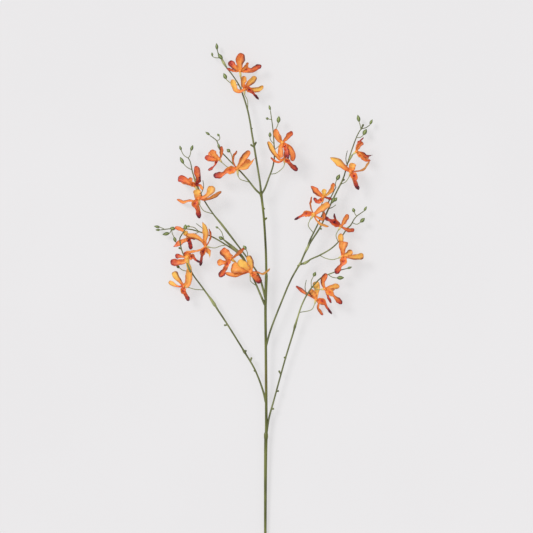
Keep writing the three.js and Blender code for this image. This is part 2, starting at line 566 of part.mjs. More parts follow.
    heart: [356.4, 151.4, 30], joint: [352.6, 154.6, 26.8], stalk: [[349.6, 158.6, 25.2], [347.2, 165.4, 24]],
    tepals: [
      { path: [[356.6, 147.6, 32], [358.8, 143.8, 33.4], [363.4, 137.6, 33]], width: 12, roll: 5 },
      { path: [[361, 153.6, 29], [366, 155.6, 26], [372.4, 155.4, 23]], width: 10, roll: 15 },
      { path: [[357.2, 149, 26], [359, 145.4, 21]], width: 8, roll: 0 },
      { path: [[361, 155, 21], [365.4, 156.8, 12], [369, 157, 5]], width: 8, roll: 0 },
      { path: [[355.4, 149.6, 34], [355.2, 147, 37]], width: 7, roll: 10 },
    ],
    lip: {
      path: [[358.8, 154.4, 31], [361.4, 156.8, 30], [365, 160, 27], [370.8, 160.6, 23]],
      width: 9, roll: 15, end: 1,
    },
  },
  bloom_h2: {
    heart: [350.6, 171.4, 33], joint: [349.2, 176.6, 29.8],
    stalk: [[345.6, 181.8, 27.8], [340.6, 184.4, 26.6]],
    tepals: [
      { path: [[344.6, 167.8, 36], [338.6, 162.6, 37], [330.6, 157.8, 34.4]], width: 14, roll: 5 },
      { path: [[351.8, 167.6, 36], [352.8, 162.8, 36]], width: 12, roll: 5 },
      { path: [[356, 171.2, 34], [363, 169.4, 32], [369.2, 161.4, 29]], width: 7, roll: 55 },
      { path: [[353, 177, 22], [355.6, 183, 10], [358, 188.4, -0.3]], width: 8, roll: 0 },
      { path: [[351.8, 168.4, 26], [352.8, 165, 21]], width: 8, roll: 0 },
    ],
    lip: {
      path: [[352.4, 174.4, 35], [354.8, 177.6, 35], [355, 182.6, 33], [359.2, 190, 27]],
      width: 13, roll: 0, end: 0.95,
    },
  },
  bloom_i1: {
    heart: [323.2, 197.2, 31], joint: [322.4, 202.2, 27.6], stalk: [[321, 207, 25.4], [323, 213.6, 23.4]],
    tepals: [
      { path: [[318.4, 193.6, 33], [311.2, 186.6, 31]], width: 11, roll: 10 },
      { path: [[323.8, 193.6, 34], [324, 189, 34.4]], width: 9, roll: 10 },
      { path: [[326.6, 194.8, 33], [331, 190.4, 32], [333.6, 183, 30]], width: 9, roll: 25 },
      { path: [[326.6, 197.6, 32], [331.6, 199, 31.4]], width: 7, roll: 50 },
      { path: [[318.6, 194.6, 24], [314.6, 191, 16]], width: 8, roll: 0 },
    ],
    lip: {
      path: [[321.8, 199.4, 33], [319.6, 201.2, 33], [317, 201.2, 32], [314, 197.6, 31]],
      width: 9, roll: 15, end: 1,
    },
  },
  bloom_i2: {
    heart: [313.6, 214.6, 36], joint: [309.8, 220.2, 32], stalk: [[308.2, 225.4, 28.8], [313.6, 233.2, 25.3]],
    tepals: [
      { path: [[311.4, 210, 38], [310, 204, 38.4], [311.6, 196.8, 36.6]], width: 7, roll: 60 },
      { path: [[317.6, 211.6, 40], [322.6, 208, 41.4], [328.8, 203.8, 39.6]], width: 13, roll: 0 },
      { path: [[318, 217.4, 39], [322.6, 219, 41.4], [324, 212, 43]], width: 8, roll: 40 },
      { path: [[316.4, 220, 35], [320.6, 223.8, 35], [328.6, 226.6, 34]], width: 7, roll: 50 },
      { path: [[317, 212.4, 30], [320, 210.4, 26]], width: 7, roll: 0 },
    ],
    lip: {
      path: [[310, 213.8, 37], [306.6, 213.6, 37], [301, 216.4, 33], [294, 219.8, 28]],
      width: 11, roll: 0, end: 0.5,
    },
  },
  bloom_j1: {
    heart: [341, 226.4, 31], joint: [338, 230.6, 28], stalk: [[336, 235.4, 24.6], [338.2, 242, 21.1]],
    tepals: [
      { path: [[343.4, 222.2, 33], [348, 214.4, 33]], width: 9.5, roll: 15 },
      { path: [[345.6, 229, 30], [349.6, 230.2, 27.6], [354.4, 229.6, 25]], width: 9.5, roll: 20 },
      { path: [[337.6, 222.6, 36], [334.6, 218.4, 38], [334, 213.4, 38]], width: 7, roll: 55 },
      { path: [[343.4, 223.2, 24], [346, 219.6, 17]], width: 8, roll: 0 },
      { path: [[337, 224.8, 23], [332.6, 222, 15], [330, 220.6, 10]], width: 8, roll: 0 },
    ],
    lip: {
      path: [[337, 224, 34], [333.4, 221.8, 35], [328.6, 219.8, 34.6], [323, 216, 34]],
      width: 14, roll: 0, end: 0.85,
    },
  },
  bloom_j2: {
    heart: [342.6, 256, 31], joint: [338.2, 258.2, 28.2],
    stalk: [[332.4, 259.6, 26], [326, 258.4, 24.4], [319.4, 255.2, 23.1]],
    tepals: [
      { path: [[342.6, 250.4, 35], [342.8, 245.6, 36.4], [344.4, 240.2, 35.4]], width: 16, roll: 0 },
      { path: [[342.2, 250, 28], [341.2, 243, 27], [341.4, 234, 26.4]], width: 8, roll: 0 },
      { path: [[349.4, 255.2, 33], [356.4, 255, 31], [364.6, 257.4, 26]], width: 12, roll: 5 },
      { path: [[347, 253.4, 34], [351.6, 249.6, 34]], width: 8, roll: 25 },
      { path: [[348, 257, 22], [354, 257.4, 9], [359, 257.6, -0.3]], width: 8, roll: 0 },
    ],
    lip: {
      path: [[343.4, 259, 35], [343.2, 262, 36], [339.6, 267, 35], [335.6, 273.8, 32]],
      width: 13, roll: 0, end: 1.15,
    },
  },
  bloom_k1: {
    heart: [316, 299.4, 17], joint: [314.8, 304, 15.6], stalk: [[311.6, 309.6, 16.8], [300, 312.4, 19.9]],
    tepals: [
      { path: [[310.6, 296, 13], [304.6, 293.6, 7], [295.8, 286.8, -0.3]], width: 8.5, roll: 15 },
      { path: [[316.8, 293, 18], [316.6, 288, 18.6], [315.4, 282, 18]], width: 12, roll: 0 },
      { path: [[314, 295.4, 18], [311, 289.8, 18]], width: 10, roll: 0 },
      {
        path: [[318.6, 303.4, 14], [318.2, 308, 9], [320.4, 311.6, 4], [323, 315.4, -0.3]],
        width: 7, roll: 25,
      },
      { path: [[319, 301.6, 10], [322.6, 303, 4.6], [325, 304, 1.4]], width: 8, roll: 0 },
    ],
    lip: {
      path: [[319, 300.4, 19], [323, 301.4, 20], [327.4, 308, 16], [332.2, 314.4, 12]],
      width: 14, roll: 0, end: 0.55,
    },
  },
  bloom_k2: {
    heart: [324.6, 288.8, 33], joint: [320.6, 289.6, 30], stalk: [[316.4, 289, 28], [312, 287.2, 25]],
    tepals: [
      { path: [[323, 284.4, 35.6], [322.8, 279.4, 37.4], [326.6, 273.6, 37]], width: 10, roll: 20 },
      { path: [[329, 287.6, 34.6], [334, 286.4, 34.6], [339.8, 286, 33]], width: 11, roll: 10 },
      { path: [[326.6, 292.6, 31], [328.4, 297, 28], [331.4, 303, 25]], width: 7, roll: 45 },
      { path: [[328.6, 289, 24], [332.4, 288.8, 15], [335, 288.6, 8]], width: 8, roll: 0 },
      { path: [[327, 291.6, 26], [329.6, 295, 18]], width: 7, roll: 0 },
    ],
    lip: {
      path: [[327.6, 290.8, 35], [330.8, 293.2, 36], [335.4, 297.8, 34], [342.4, 304.2, 29]],
      width: 13, roll: 0, end: 1.25,
    },
  },
};

function place([column, row, height]) {
  return new THREE.Vector3(
    (column - STEM_COLUMN) * MM_PER_PIXEL,
    (FOOT_ROW - row) * MM_PER_PIXEL,
    height,
  );
}

// The place a little past a line's end, straight on from the place before it
function past(before, end, distance) {
  return end.clone().add(end.clone().sub(before).setLength(distance));
}

// A closed geometry, as a solid that can be joined and cut
function solidOf(geometry) {
  geometry.deleteAttribute('normal');
  geometry.deleteAttribute('uv');
  const merged = mergeVertices(geometry, 1e-4);
  return new wasm.Manifold(new wasm.Mesh({
    numProp: 3,
    vertProperties: merged.attributes.position.array,
    triVerts: new Uint32Array(merged.index.array),
  }));
}

const joined = (solids) => solids.reduce((whole, piece) => whole.add(piece));

const lineThrough = (points) => (points.length > 2
  ? new THREE.CatmullRomCurve3(points, false, 'centripetal')
  : new THREE.LineCurve3(points[0], points[1]));

// Directions at a share of a line's length: across the blade or tube, and out of its face
function frameAt(line, share, roll = 0) {
  const along = line.getTangentAt(share);
  const across = new THREE.Vector3().crossVectors(along, UP).normalize();
  across.applyAxisAngle(along, THREE.MathUtils.degToRad(roll));
  const face = new THREE.Vector3().crossVectors(across, along);
  return { point: line.getPointAt(share), across, face };
}

// Bends a shape that stands along Y along a line, where a height gives the share of the line's
// length and the radius that the shape has there
function bend(geometry, line, stationAt) {
  const vertices = geometry.attributes.position;
  for (let i = 0; i < vertices.count; i += 1) {
    const { share, radius } = stationAt(vertices.getY(i));
    const { point, across, face } = frameAt(line, share);
    point.addScaledVector(across, vertices.getX(i) * radius);
    point.addScaledVector(face, vertices.getZ(i) * radius);
    vertices.setXYZ(i, point.x, point.y, point.z);
  }
  return solidOf(geometry);
}

// A tube with closed ends and one ring of corners at each of its places
function tube(points, radii, sides) {
  const runs = points.slice(1).map((point, i) => point.distanceTo(points[i]));
  const length = runs.reduce((total, run) => total + run);
  const shares = [0];
  runs.forEach((run) => shares.push(Math.min(1, shares.at(-1) + run / length)));
  const rings = points.length - 1;
  return bend(new THREE.CylinderGeometry(1, 1, rings, sides, rings), lineThrough(points), (y) => {
    const ring = Math.round(y + rings / 2);
    return { share: shares[ring], radius: radii[ring] };
  });
}

// A bud, thickest below its middle
function bud(base, tip, width) {
  return bend(new THREE.SphereGeometry(1, BUD_SIDES, BUD_RINGS), lineThrough([base, tip]), (y) => ({
    share: THREE.MathUtils.clamp((y + 1) / 2, 0, 1),
    radius: (width / 2) * (1 - BUD_TAPER * y),
  }));
}

// A blade: a grid of corners across its upper face and the same grid one thickness lower, with each
// square split along the same diagonal on both faces
function blade(points, { width, roll }, { outline, columns, thickness, trough, end }) {
  const line = lineThrough(points);
  const across = columns.length;
  const rows = outline.length;
  const corners = [];
  for (const side of [0.5, -0.5]) {
    outline.forEach(([share, breadth], row) => {
      const frame = frameAt(line, share, roll);
      const half = (width / 2) * breadth * (share > LIP_WAIST ? end : 1);
      const wave = row % 2 === 0 ? -CRISP : CRISP;
      columns.forEach((column) => {
        const lift = side * thickness + wave * column - (1 - Math.abs(column)) * trough * half;
        corners.push(frame.point.clone()
          .addScaledVector(frame.across, column * half)
          .addScaledVector(frame.face, lift));
      });
    });
  }
  const upper = (row, column) => row * across + column;
  const lower = (row, column) => (rows + row) * across + column;
  const index = [];
  const square = (a, b, c, d) => index.push(a, b, c, a, c, d);
  for (let row = 0; row < rows - 1; row += 1) {
    for (let column = 0; column < across - 1; column += 1) {
      square(upper(row, column), upper(row, column + 1), upper(row + 1, column + 1), upper(row + 1, column));
      index.push(lower(row, column), lower(row + 1, column + 1), lower(row, column + 1));
      index.push(lower(row, column), lower(row + 1, column), lower(row + 1, column + 1));
    }
    square(upper(row, 0), upper(row + 1, 0), lower(row + 1, 0), lower(row, 0));
    const last = across - 1;
    square(lower(row, last), lower(row + 1, last), upper(row + 1, last), upper(row, last));
  }
  for (let column = 0; column < across - 1; column += 1) {
    square(upper(0, column), lower(0, column), lower(0, column + 1), upper(0, column + 1));
    const tip = rows - 1;
    square(upper(tip, column), upper(tip, column + 1), lower(tip, column + 1), lower(tip, column));
  }
  const geometry = new THREE.BufferGeometry().setFromPoints(corners);
  geometry.setIndex(index);
  return solidOf(geometry);
}

// The tube of a route of stations, made wider by an extra radius when it is used as a cutter
function routeTube(route, sides, extra = 0) {
  const points = route.map(place);
  if (extra > 0) {
    points.unshift(past(points[1], points[0], extra));
    points.push(past(points.at(-2), points.at(-1), extra));
    const radii = route.map((station) => station[3] + extra);
    return tube(points, [radii[0], ...radii, radii.at(-1)], sides);
  }
  return tube(points, route.map((station) => station[3]), sides);
}

function neck(bloom, extra = 0) {
  const heart = place(bloom.heart);
  const joint = place(bloom.joint);
  const end = extra > 0 ? past(heart, joint, extra) : joint;
  return tube([heart, end], [THROAT_RADIUS + extra, NECK_RADIUS + extra], NECK_SIDES);
}

function stub({ root, bend: turn, tip }) {
  const points = (turn ? [root, turn, tip] : [root, tip]).map(place);
  return tube(points, points.map(() => STUB_RADIUS), STALK_SIDES);
}

function buildSpray(name) {
  const { carriers, route, buds, stubs } = SPRAYS[name];
  const pieces = [routeTube(route, SPRAY_SIDES), ...stubs.map(stub)];
  buds.forEach(({ tip, base, width, stalk }) => {
    pieces.push(bud(place(base), place(tip), width));
    if (stalk.length > 0) {
      const points = [past(place(tip), place(base), -1), ...stalk.map(place)];
      pieces.push(tube(points, points.map(() => STALK_RADIUS), STALK_SIDES));
    }
  });
  const blooms = Object.entries(BLOOMS).filter(([bloomName, bloom]) => carrierOf(bloomName, bloom) === name);
  blooms.forEach(([, bloom]) => {
    const points = [bloom.joint, ...bloom.stalk].map(place);
    pieces.push(tube(points, points.map(() => STALK_RADIUS), STALK_SIDES));
  });
  const cutters = carriers.map((carrier) => (carrier === 'main_stem'
    ? routeTube(MAIN_STEM, STEM_SIDES, SEAT_GAP)
    : routeTube(SPRAYS[carrier].route, SPRAY_SIDES, SEAT_GAP)));
  blooms.forEach(([, bloom]) => cutters.push(neck(bloom, SEAT_GAP)));
  return cutters.reduce((whole, cutter) => whole.subtract(cutter), joined(pieces));
}

// A bloom's stalk grows from the spray of its own letter, unless the bloom names another one
function carrierOf(bloomName, bloom) {
  return bloom.carrier ?? `spray_${bloomName.at(-2)}`;
}

// The places of a blade, which starts inside the bloom's heart
function bladeLine(heart, path) {
  const places = path.map(place);
  return [past(places[0], heart, -CLAW_START), ...places];
}

// What would dip below the surface that the plant rests on is trimmed flat
const ground = solidOf(new THREE.BoxGeometry(GROUND, GROUND, GROUND).translate(0, GROUND / 2, -GROUND / 2));

function buildBloom(bloom) {
  const heart = place(bloom.heart);
  const middle = new THREE.SphereGeometry(HEART_RADIUS, HEART_SIDES, HEART_RINGS)
    .rotateX(Math.PI / 2)
    .translate(heart.x, heart.y, heart.z);
  const pieces = [solidOf(middle), neck(bloom)];
  bloom.tepals.forEach((tepal) => {
    pieces.push(blade(bladeLine(heart, tepal.path), tepal, TEPAL));
  });
  pieces.push(blade(bladeLine(heart, bloom.lip.path), bloom.lip, { ...LIP, end: bloom.lip.end }));
  return joined(pieces).subtract(ground);
}

// The largest body of a solid, as a named mesh
function meshOf(name, solid, material) {
  const bodies = solid.decompose().sort((a, b) => b.volume() - a.volume());
  const { vertProperties, triVerts } = bodies[0].getMesh();
  const geometry = new THREE.BufferGeometry();
  geometry.setAttribute('position', new THREE.BufferAttribute(new Float32Array(vertProperties), 3));
  geometry.setIndex(new THREE.BufferAttribute(new Uint32Array(triVerts), 1));
  const mesh = new THREE.Mesh(geometry.toNonIndexed(), material);
  mesh.geometry.computeVertexNormals();
  mesh.name = name;
  return mesh;
}

const stem = joined([routeTube(MAIN_STEM, STEM_SIDES), ...MAIN_STEM_STUBS.map(stub)]).subtract(ground);
const plant = new THREE.Group();
plant.name = 'oncidium_stem';
plant.add(meshOf('main_stem', stem, STEM_GREEN));
Object.keys(SPRAYS).forEach((name) => plant.add(meshOf(name, buildSpray(name), LEAF_GREEN)));
Object.entries(BLOOMS).forEach(([name, bloom]) => {
  plant.add(meshOf(name, buildBloom(bloom), PETAL_ORANGE));
});

// The frame's origin is under the middle of the plant, on the surface that it rests on
const bounds = new THREE.Box3().setFromObject(plant);
const middle = bounds.getCenter(new THREE.Vector3());
plant.children.forEach((mesh) => mesh.geometry.translate(-middle.x, -middle.y, -bounds.min.z));

export default plant;
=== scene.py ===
# %% [markdown]
# # An oncidium orchid stem, lying down
#
# This notebook dresses a cut orchid stem: one straight stem, eleven thin side sprays with green buds,
# and twenty-two blooms. Each bloom has five tepals, the petal-like blades of an orchid, and one lip.
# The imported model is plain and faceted. Each green tube, bud and blade of it is made again here in the
# same place, rounder and finer, and then gets its colours.

import json
import math

import bpy
import numpy as np
from mathutils import Matrix, Vector

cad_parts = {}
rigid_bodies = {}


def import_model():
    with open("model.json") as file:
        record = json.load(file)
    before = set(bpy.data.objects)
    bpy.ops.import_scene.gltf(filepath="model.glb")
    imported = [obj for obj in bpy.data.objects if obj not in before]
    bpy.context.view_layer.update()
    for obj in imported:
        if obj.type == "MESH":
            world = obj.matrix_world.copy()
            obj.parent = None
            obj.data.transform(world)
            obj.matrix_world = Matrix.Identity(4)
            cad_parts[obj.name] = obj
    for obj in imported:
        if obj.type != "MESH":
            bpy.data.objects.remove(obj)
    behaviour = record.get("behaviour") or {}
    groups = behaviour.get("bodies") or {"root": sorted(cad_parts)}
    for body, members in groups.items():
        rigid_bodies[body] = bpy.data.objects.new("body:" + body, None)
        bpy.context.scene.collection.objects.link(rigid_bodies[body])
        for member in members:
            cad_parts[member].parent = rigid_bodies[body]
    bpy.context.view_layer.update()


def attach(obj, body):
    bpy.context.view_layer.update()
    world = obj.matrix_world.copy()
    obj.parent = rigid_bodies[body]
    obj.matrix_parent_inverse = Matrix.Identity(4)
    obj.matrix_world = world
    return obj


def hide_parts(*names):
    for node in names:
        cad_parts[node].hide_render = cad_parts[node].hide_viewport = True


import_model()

# %% [markdown]
# ## From a place on the photograph to a place on the table
#
# The plant was traced on a photograph of 533 by 533 pixels. Each place below is a column, a row and
# a height above the table in millimetres. One pixel is 1.85 mm, so that the stem is 1 m long.
# The frame's origin lies on the table, under the middle of the plant.

# %% Places in the frame
PHOTO_SIDE = 533
MM_PER_PIXEL = 1.85
ORIGIN_COLUMN = 263.1273
ORIGIN_ROW = 312.8254


def place(station):
    """The place of a station, which starts with its column, its row and its height."""
    column, row, height = station[:3]
    across = (column - ORIGIN_COLUMN) * MM_PER_PIXEL
    along = (ORIGIN_ROW - row) * MM_PER_PIXEL
    return np.array([across, along, height]) / 1000


def all_places(stations):
    return [place(station) for station in stations]


print("upper left corner of the photograph in mm:", (1000 * place((0, 0, 0))).round(1))

# %% [markdown]
# ## Smooth lines through a few places
#
# Every stalk and every blade follows a line. A Catmull-Rom curve goes through all of its places,
# and the centripetal kind doesn't loop where two of them are close. A share of the curve's length
# then gives a point on it, and the slope there tells which way the line runs.

# %% Lines and the directions along them
UP = np.array([0.0, 0.0, 1.0])


def unit(vectors):
    return vectors / np.linalg.norm(vectors, axis=-1, keepdims=True)


def smooth_line(places, steps=16):
    """Points of a centripetal Catmull-Rom curve through the places."""
    places = np.array(places, float)
    if len(places) == 2:
        return np.linspace(places[0], places[1], steps)
    first = 2 * places[0] - places[1]
    last = 2 * places[-1] - places[-2]
    guides = np.vstack([first, places, last])
    points = []
    for p0, p1, p2, p3 in zip(guides, guides[1:], guides[2:], guides[3:]):
        t1 = np.linalg.norm(p1 - p0) ** 0.5
        t2 = t1 + np.linalg.norm(p2 - p1) ** 0.5
        t3 = t2 + np.linalg.norm(p3 - p2) ** 0.5
        t = np.linspace(t1, t2, steps, endpoint=False)[:, None]
        a1 = (t1 - t) / t1 * p0 + t / t1 * p1
        a2 = (t2 - t) / (t2 - t1) * p1 + (t - t1) / (t2 - t1) * p2
        a3 = (t3 - t) / (t3 - t2) * p2 + (t - t2) / (t3 - t2) * p3
        b1 = (t2 - t) / t2 * a1 + t / t2 * a2
        b2 = (t3 - t) / (t3 - t1) * a2 + (t - t1) / (t3 - t1) * a3
        points.append((t2 - t) / (t2 - t1) * b1 + (t - t1) / (t2 - t1) * b2)
    return np.vstack(points + [places[-1:]])


def travelled(points):
    """The share of the whole length at each point."""
    runs = np.linalg.norm(np.diff(points, axis=0), axis=1)
    return np.concatenate([[0], np.cumsum(runs)]) / runs.sum()


def at_shares(points, shares):
    """The points at some shares of the whole length."""
    reached = travelled(points)
    return np.stack([np.interp(shares, reached, points[:, axis]) for axis in range(3)], axis=1)


def directions(points, roll=0.0):
    """At each point, the directions across the line and out of its face."""
    along = unit(np.gradient(points, axis=0))
    level = unit(np.cross(along, UP))
    out = np.cross(level, along)
    angle = np.radians(roll)
    across = math.cos(angle) * level - math.sin(angle) * out
    return across, np.cross(across, along)


print("a bend of three places has", len(smooth_line([(0, 0, 0), (1, 1, 0), (2, 0, 0)])), "points")

# %% [markdown]
# ## The layout
#
# No spray and no bloom is like another one, so each is written out here. Columns and rows were read
# off the photograph. It doesn't show heights, so these were chosen to let stalks and blades
# cross in the order that it shows. What all of them share is in the helpers further down.
#
# A route is a list of stations: column, row, height and radius. Where the radius swells there is a
# sleeve, and it is paler than the rest, unless a fifth value at a station says how pale it is. A bud
# is its tip, its base, its width and any bends of its stalk. A stub is two places for a knob, or three
# for a thin bare twig. A spray can have one more sleeve, a short route laid over the place where a
# stalk leaves it.

# %% Stations of the main stem
MAIN_STEM = [
    (265.3, 583, 2.5, 2.4), (265.3, 533, 5.85, 2.4), (265.6, 460, 10.74, 3), (265.9, 440, 12.08, 3.2),
    (266, 437.5, 12.25, 3.9), (266, 434.5, 12.45, 3.8), (266.2, 432, 12.62, 2.6), (266.2, 402, 14.63, 2.5),
    (265.8, 345, 18.45, 2.4), (265.5, 306, 21.06, 2.5), (266.3, 276, 23.07, 2.8), (266.3, 273.5, 23.24, 2.2),
    (265.8, 250, 24.81, 2.1), (263.6, 215, 27.16, 2.1), (261.6, 197.5, 28.33, 2.3),
    (261.1, 194.5, 28.53, 3.1), (261, 192, 28.7, 2.9),
]
MAIN_STEM_STUBS = [
    [(264.3, 220.5, 27), (266.9, 217.6, 27.4)], [(263.2, 209.4, 27.6), (264.8, 208.2, 27.8)],
]

print("stations of the main stem:", len(MAIN_STEM))

# %% Sprays A to C, at the crown and the fork
SPRAYS = {}

SPRAYS["spray_a"] = dict(
    route=[
        (261, 193, 28.6, 2.2), (260.2, 184, 28.3, 1.8), (257.2, 165, 27, 1.8), (254.7, 150, 25.3, 1.9),
        (252, 134, 23.4, 1.7), (249.7, 120, 21.4, 1.6), (247.6, 110, 19.6, 1.6), (243, 95, 17.6, 1.4),
        (239, 85, 16.4, 1.3), (232.5, 75, 15.6, 1.1), (226.4, 67, 15, 1.4), (223.6, 62.5, 14.6, 2.7),
        (221.5, 58.5, 14.2, 1.8), (218, 52.5, 13.4, 0.9), (217.2, 49.5, 13, 0.9),
    ],
    buds=[
        ((216.4, 42.6, 12), (217.1, 49.8, 13), 5.6),
        ((211.8, 51.9, 12), (212.4, 56, 13), 4.2, (215, 57.3, 13.4), (221, 57.6, 14)),
        ((217.6, 53.3, 14.5), (222.6, 59, 15), 7.5),
        ((223.5, 72.7, 13.6), (226.4, 79.2, 14.4), 7.2, (231, 83, 15.2), (238.6, 85, 16.3)),
    ],
    stubs=[
        [(254.4, 147.6, 25.1), (250.4, 144.4, 25.6)], [(254.2, 146.6, 25), (256.2, 141.8, 25.6)],
        [(251.2, 129, 22.7), (252.3, 128, 22.9)],
    ],
)

SPRAYS["spray_b"] = dict(
    route=[
        (261.2, 194.6, 28.5, 2), (256, 190, 28.8, 1.8), (248, 180, 29.3, 1.5), (240, 171, 29.8, 1.4),
        (228, 159, 29, 1.2), (219.5, 149, 27.4, 1.1), (216.8, 141, 25.4, 1), (210, 135.5, 23.4, 0.8),
    ],
    buds=[
        ((205.3, 131.7, 22.4), (210, 135.2, 23.4), 4.6),
        ((217.1, 133.7, 24), (219.5, 136.3, 24.6), 4.5, (219.6, 139, 25), (216.8, 141, 25.3)),
        ((226.7, 149, 28), (230.2, 152.2, 28.6), 7, (231.8, 156, 29), (232.6, 163.4, 29.3)),
        ((218, 143, 26.4), (219.4, 149, 27.4), 4.8),
    ],
)

SPRAYS["spray_c"] = dict(
    route=[
        (261, 194.6, 28.5, 2), (264.4, 189.5, 28.5, 1.8), (268.6, 178.5, 28, 1.5), (273, 166, 27, 1.4),
        (274.5, 154, 26, 1.3), (274, 144, 25, 1.2), (273, 130, 23, 1), (270.4, 110.5, 20, 0.8),
    ],
    buds=[
        ((269, 104.7, 19.2), (270.4, 110.4, 20), 4.4),
        ((265.6, 117.9, 20), (268.7, 119, 20.6), 4.8, (271.6, 119.4, 21.2)),
        ((279, 115.7, 21), (278.2, 123.2, 21.6), 7.4, (276.6, 127.5, 22.4), (273.3, 133, 23.3)),
        ((270, 131.8, 22), (270, 137.6, 22.8), 5.8, (270.6, 140, 23.6), (273.9, 144, 24.9)),
    ],
)

print("sprays so far:", list(SPRAYS))

# %% Sprays D and E, on the left
SPRAYS["spray_d"] = dict(
    route=[
        (265.4, 298.5, 22, 2.1), (262.8, 288, 22.8, 2), (258.6, 275, 23.8, 1.5), (248, 259, 25, 1.5),
        (237.5, 245, 25.7, 1.5), (226, 230, 26, 2.1), (221, 223.5, 26, 2.1), (214, 215, 26, 1.3),
        (204, 200, 26, 1.3), (198, 187.5, 25.6, 1.3), (192.5, 172, 24.2, 1.1), (190.3, 162, 22.8, 0.9),
        (188.3, 158, 22, 0.9),
    ],
    buds=[
        ((192.9, 144.8, 20), (190.8, 151, 21), 5.8, (190, 155, 21.6), (188.2, 158.2, 22)),
        ((179.6, 145.4, 20), (181.3, 150.5, 20.6), 4.6, (184, 155.4, 21.2), (188.4, 158.2, 22)),
        ((179.9, 156.8, 21), (183.8, 164, 22), 6.4, (187, 167.2, 23), (191.6, 169.6, 23.9)),
        ((243.2, 245.4, 27.4), (246.2, 249.8, 27.2), 7, (247.6, 253.5, 26.4), (247.2, 258, 25)),
    ],
    stubs=[[(201, 194, 25.8), (203.6, 187, 26.4), (202.9, 180.3, 27)]],
    sleeve=[
        (193.6, 176, 24.8, 1.2), (194.8, 179.4, 25.2, 2.2), (196.6, 184, 25.8, 2.3), (199.4, 191, 26, 1.2),
    ],
)

SPRAYS["spray_e"] = dict(
    route=[
        (264.9, 305, 21.2, 2.2), (260.6, 295, 21.6, 2), (255, 282, 21, 1.6), (246, 263, 19.8, 1.7),
        (237.3, 252.6, 18.9, 1.6), (227.5, 245.8, 18.2, 1.4), (211.8, 236.6, 17, 1.3), (197, 231, 16, 1.2),
        (188, 229, 15.6, 1.1), (171, 228.7, 14.6, 1), (160.4, 229.8, 13.6, 0.8),
    ],
    buds=[
        ((153.7, 226.1, 13.4), (160, 227.2, 13.6), 5.2, (164.8, 229.3, 14)),
        ((155.2, 229.9, 13.2), (160.3, 229.8, 13.6), 4.6),
        ((162.1, 234.6, 12.6), (169.6, 233, 13.4), 6.6, (171.4, 229, 14.6)),
        ((175.8, 242.7, 11.6), (173.8, 236.8, 12.6), 6.2, (172.2, 233.6, 13.6), (171.4, 229, 14.6)),
        ((169.8, 227.7, 15.6), (175.2, 229.2, 15.6), 7.4),
        ((186.7, 225.8, 19.6), (190, 226.7, 18.6), 4.6,
         (193.6, 227.3, 17.8), (196.6, 229.4, 17), (198.8, 231.7, 16.1)),
    ],
    stubs=[[(208.2, 234.6, 16.8), (203.6, 229.4, 18.4), (196.2, 223.4, 19.4)]],
)

print("sprays so far:", list(SPRAYS))

# %% Sprays F and G, on the left
SPRAYS["spray_f"] = dict(
    route=[
        (265.7, 402.5, 14.6, 2), (263, 391, 15, 1.8), (255, 370, 15.4, 1.6), (246, 354.5, 15.8, 1.7),
        (244.3, 351.8, 15.8, 2.7, 0), (242.6, 349, 15.8, 1.6), (228, 325.5, 16, 1.6), (217.2, 309, 16.3, 1.7),
        (216, 307, 16.3, 1.9, 0.2), (214.4, 304.6, 16.4, 3.1, 0.4), (211.4, 300, 16.6, 2.6, 0.5),
        (208.5, 296, 16.7, 1.7, 0.2), (200.5, 285, 17, 1.4), (193.2, 275, 17.4, 1.3), (187, 262, 19.4, 1.2),
        (182, 251, 24, 1.1), (180.3, 243, 30.5, 1.1), (180, 238.4, 35, 1.1), (183, 233, 38.6, 1.1),
        (185.6, 229, 40.4, 1),
    ],
    buds=[
        ((185.6, 224.4, 41.8), (185.6, 229.6, 40.4), 7.6),
        ((176.2, 265.4, 14.8), (179.5, 268, 15.6), 5.8, (183, 270.3, 16.4), (191.6, 271.6, 17.8)),
    ],
    stubs=[
        [(181.5, 249.2, 25.2), (178.6, 247.6, 25)], [(227.4, 325, 16), (223.9, 325.4, 16.2)],
        [(250.6, 361, 15.6), (251.6, 357.4, 15.8)], [(255.4, 369.6, 15.4), (254, 371.6, 15.4)],
        [(244.6, 352, 15.8), (246.5, 350.4, 16.2)],
    ],
    sleeve=[
        (187, 261.6, 28.4, 0.7), (187.9, 265.6, 29.6, 1.7, 0.25), (190.1, 271, 28.2, 1.9, 0.25),
        (192, 274, 19.6, 1),
    ],
)

SPRAYS["spray_g"] = dict(
    route=[
        (246.6, 263.6, 20, 1.5), (242.7, 256.4, 24.4, 1.5), (239.4, 253, 26.4, 1.6),
        (237.4, 251.2, 27.4, 2.9), (233.4, 247.9, 28.6, 3), (229.7, 244.6, 29, 2.2), (222.6, 238.8, 30, 1.2),
    ],
    buds=[
        ((218.6, 236.7, 30.6), (223.2, 239.4, 29.8), 6.8),
        ((215.4, 226.6, 31.2), (218.5, 228.2, 31), 4,
         (221.6, 232, 30.6), (223, 236, 30.3), (224.2, 240, 29.9)),
    ],
)

print("sprays so far:", list(SPRAYS))

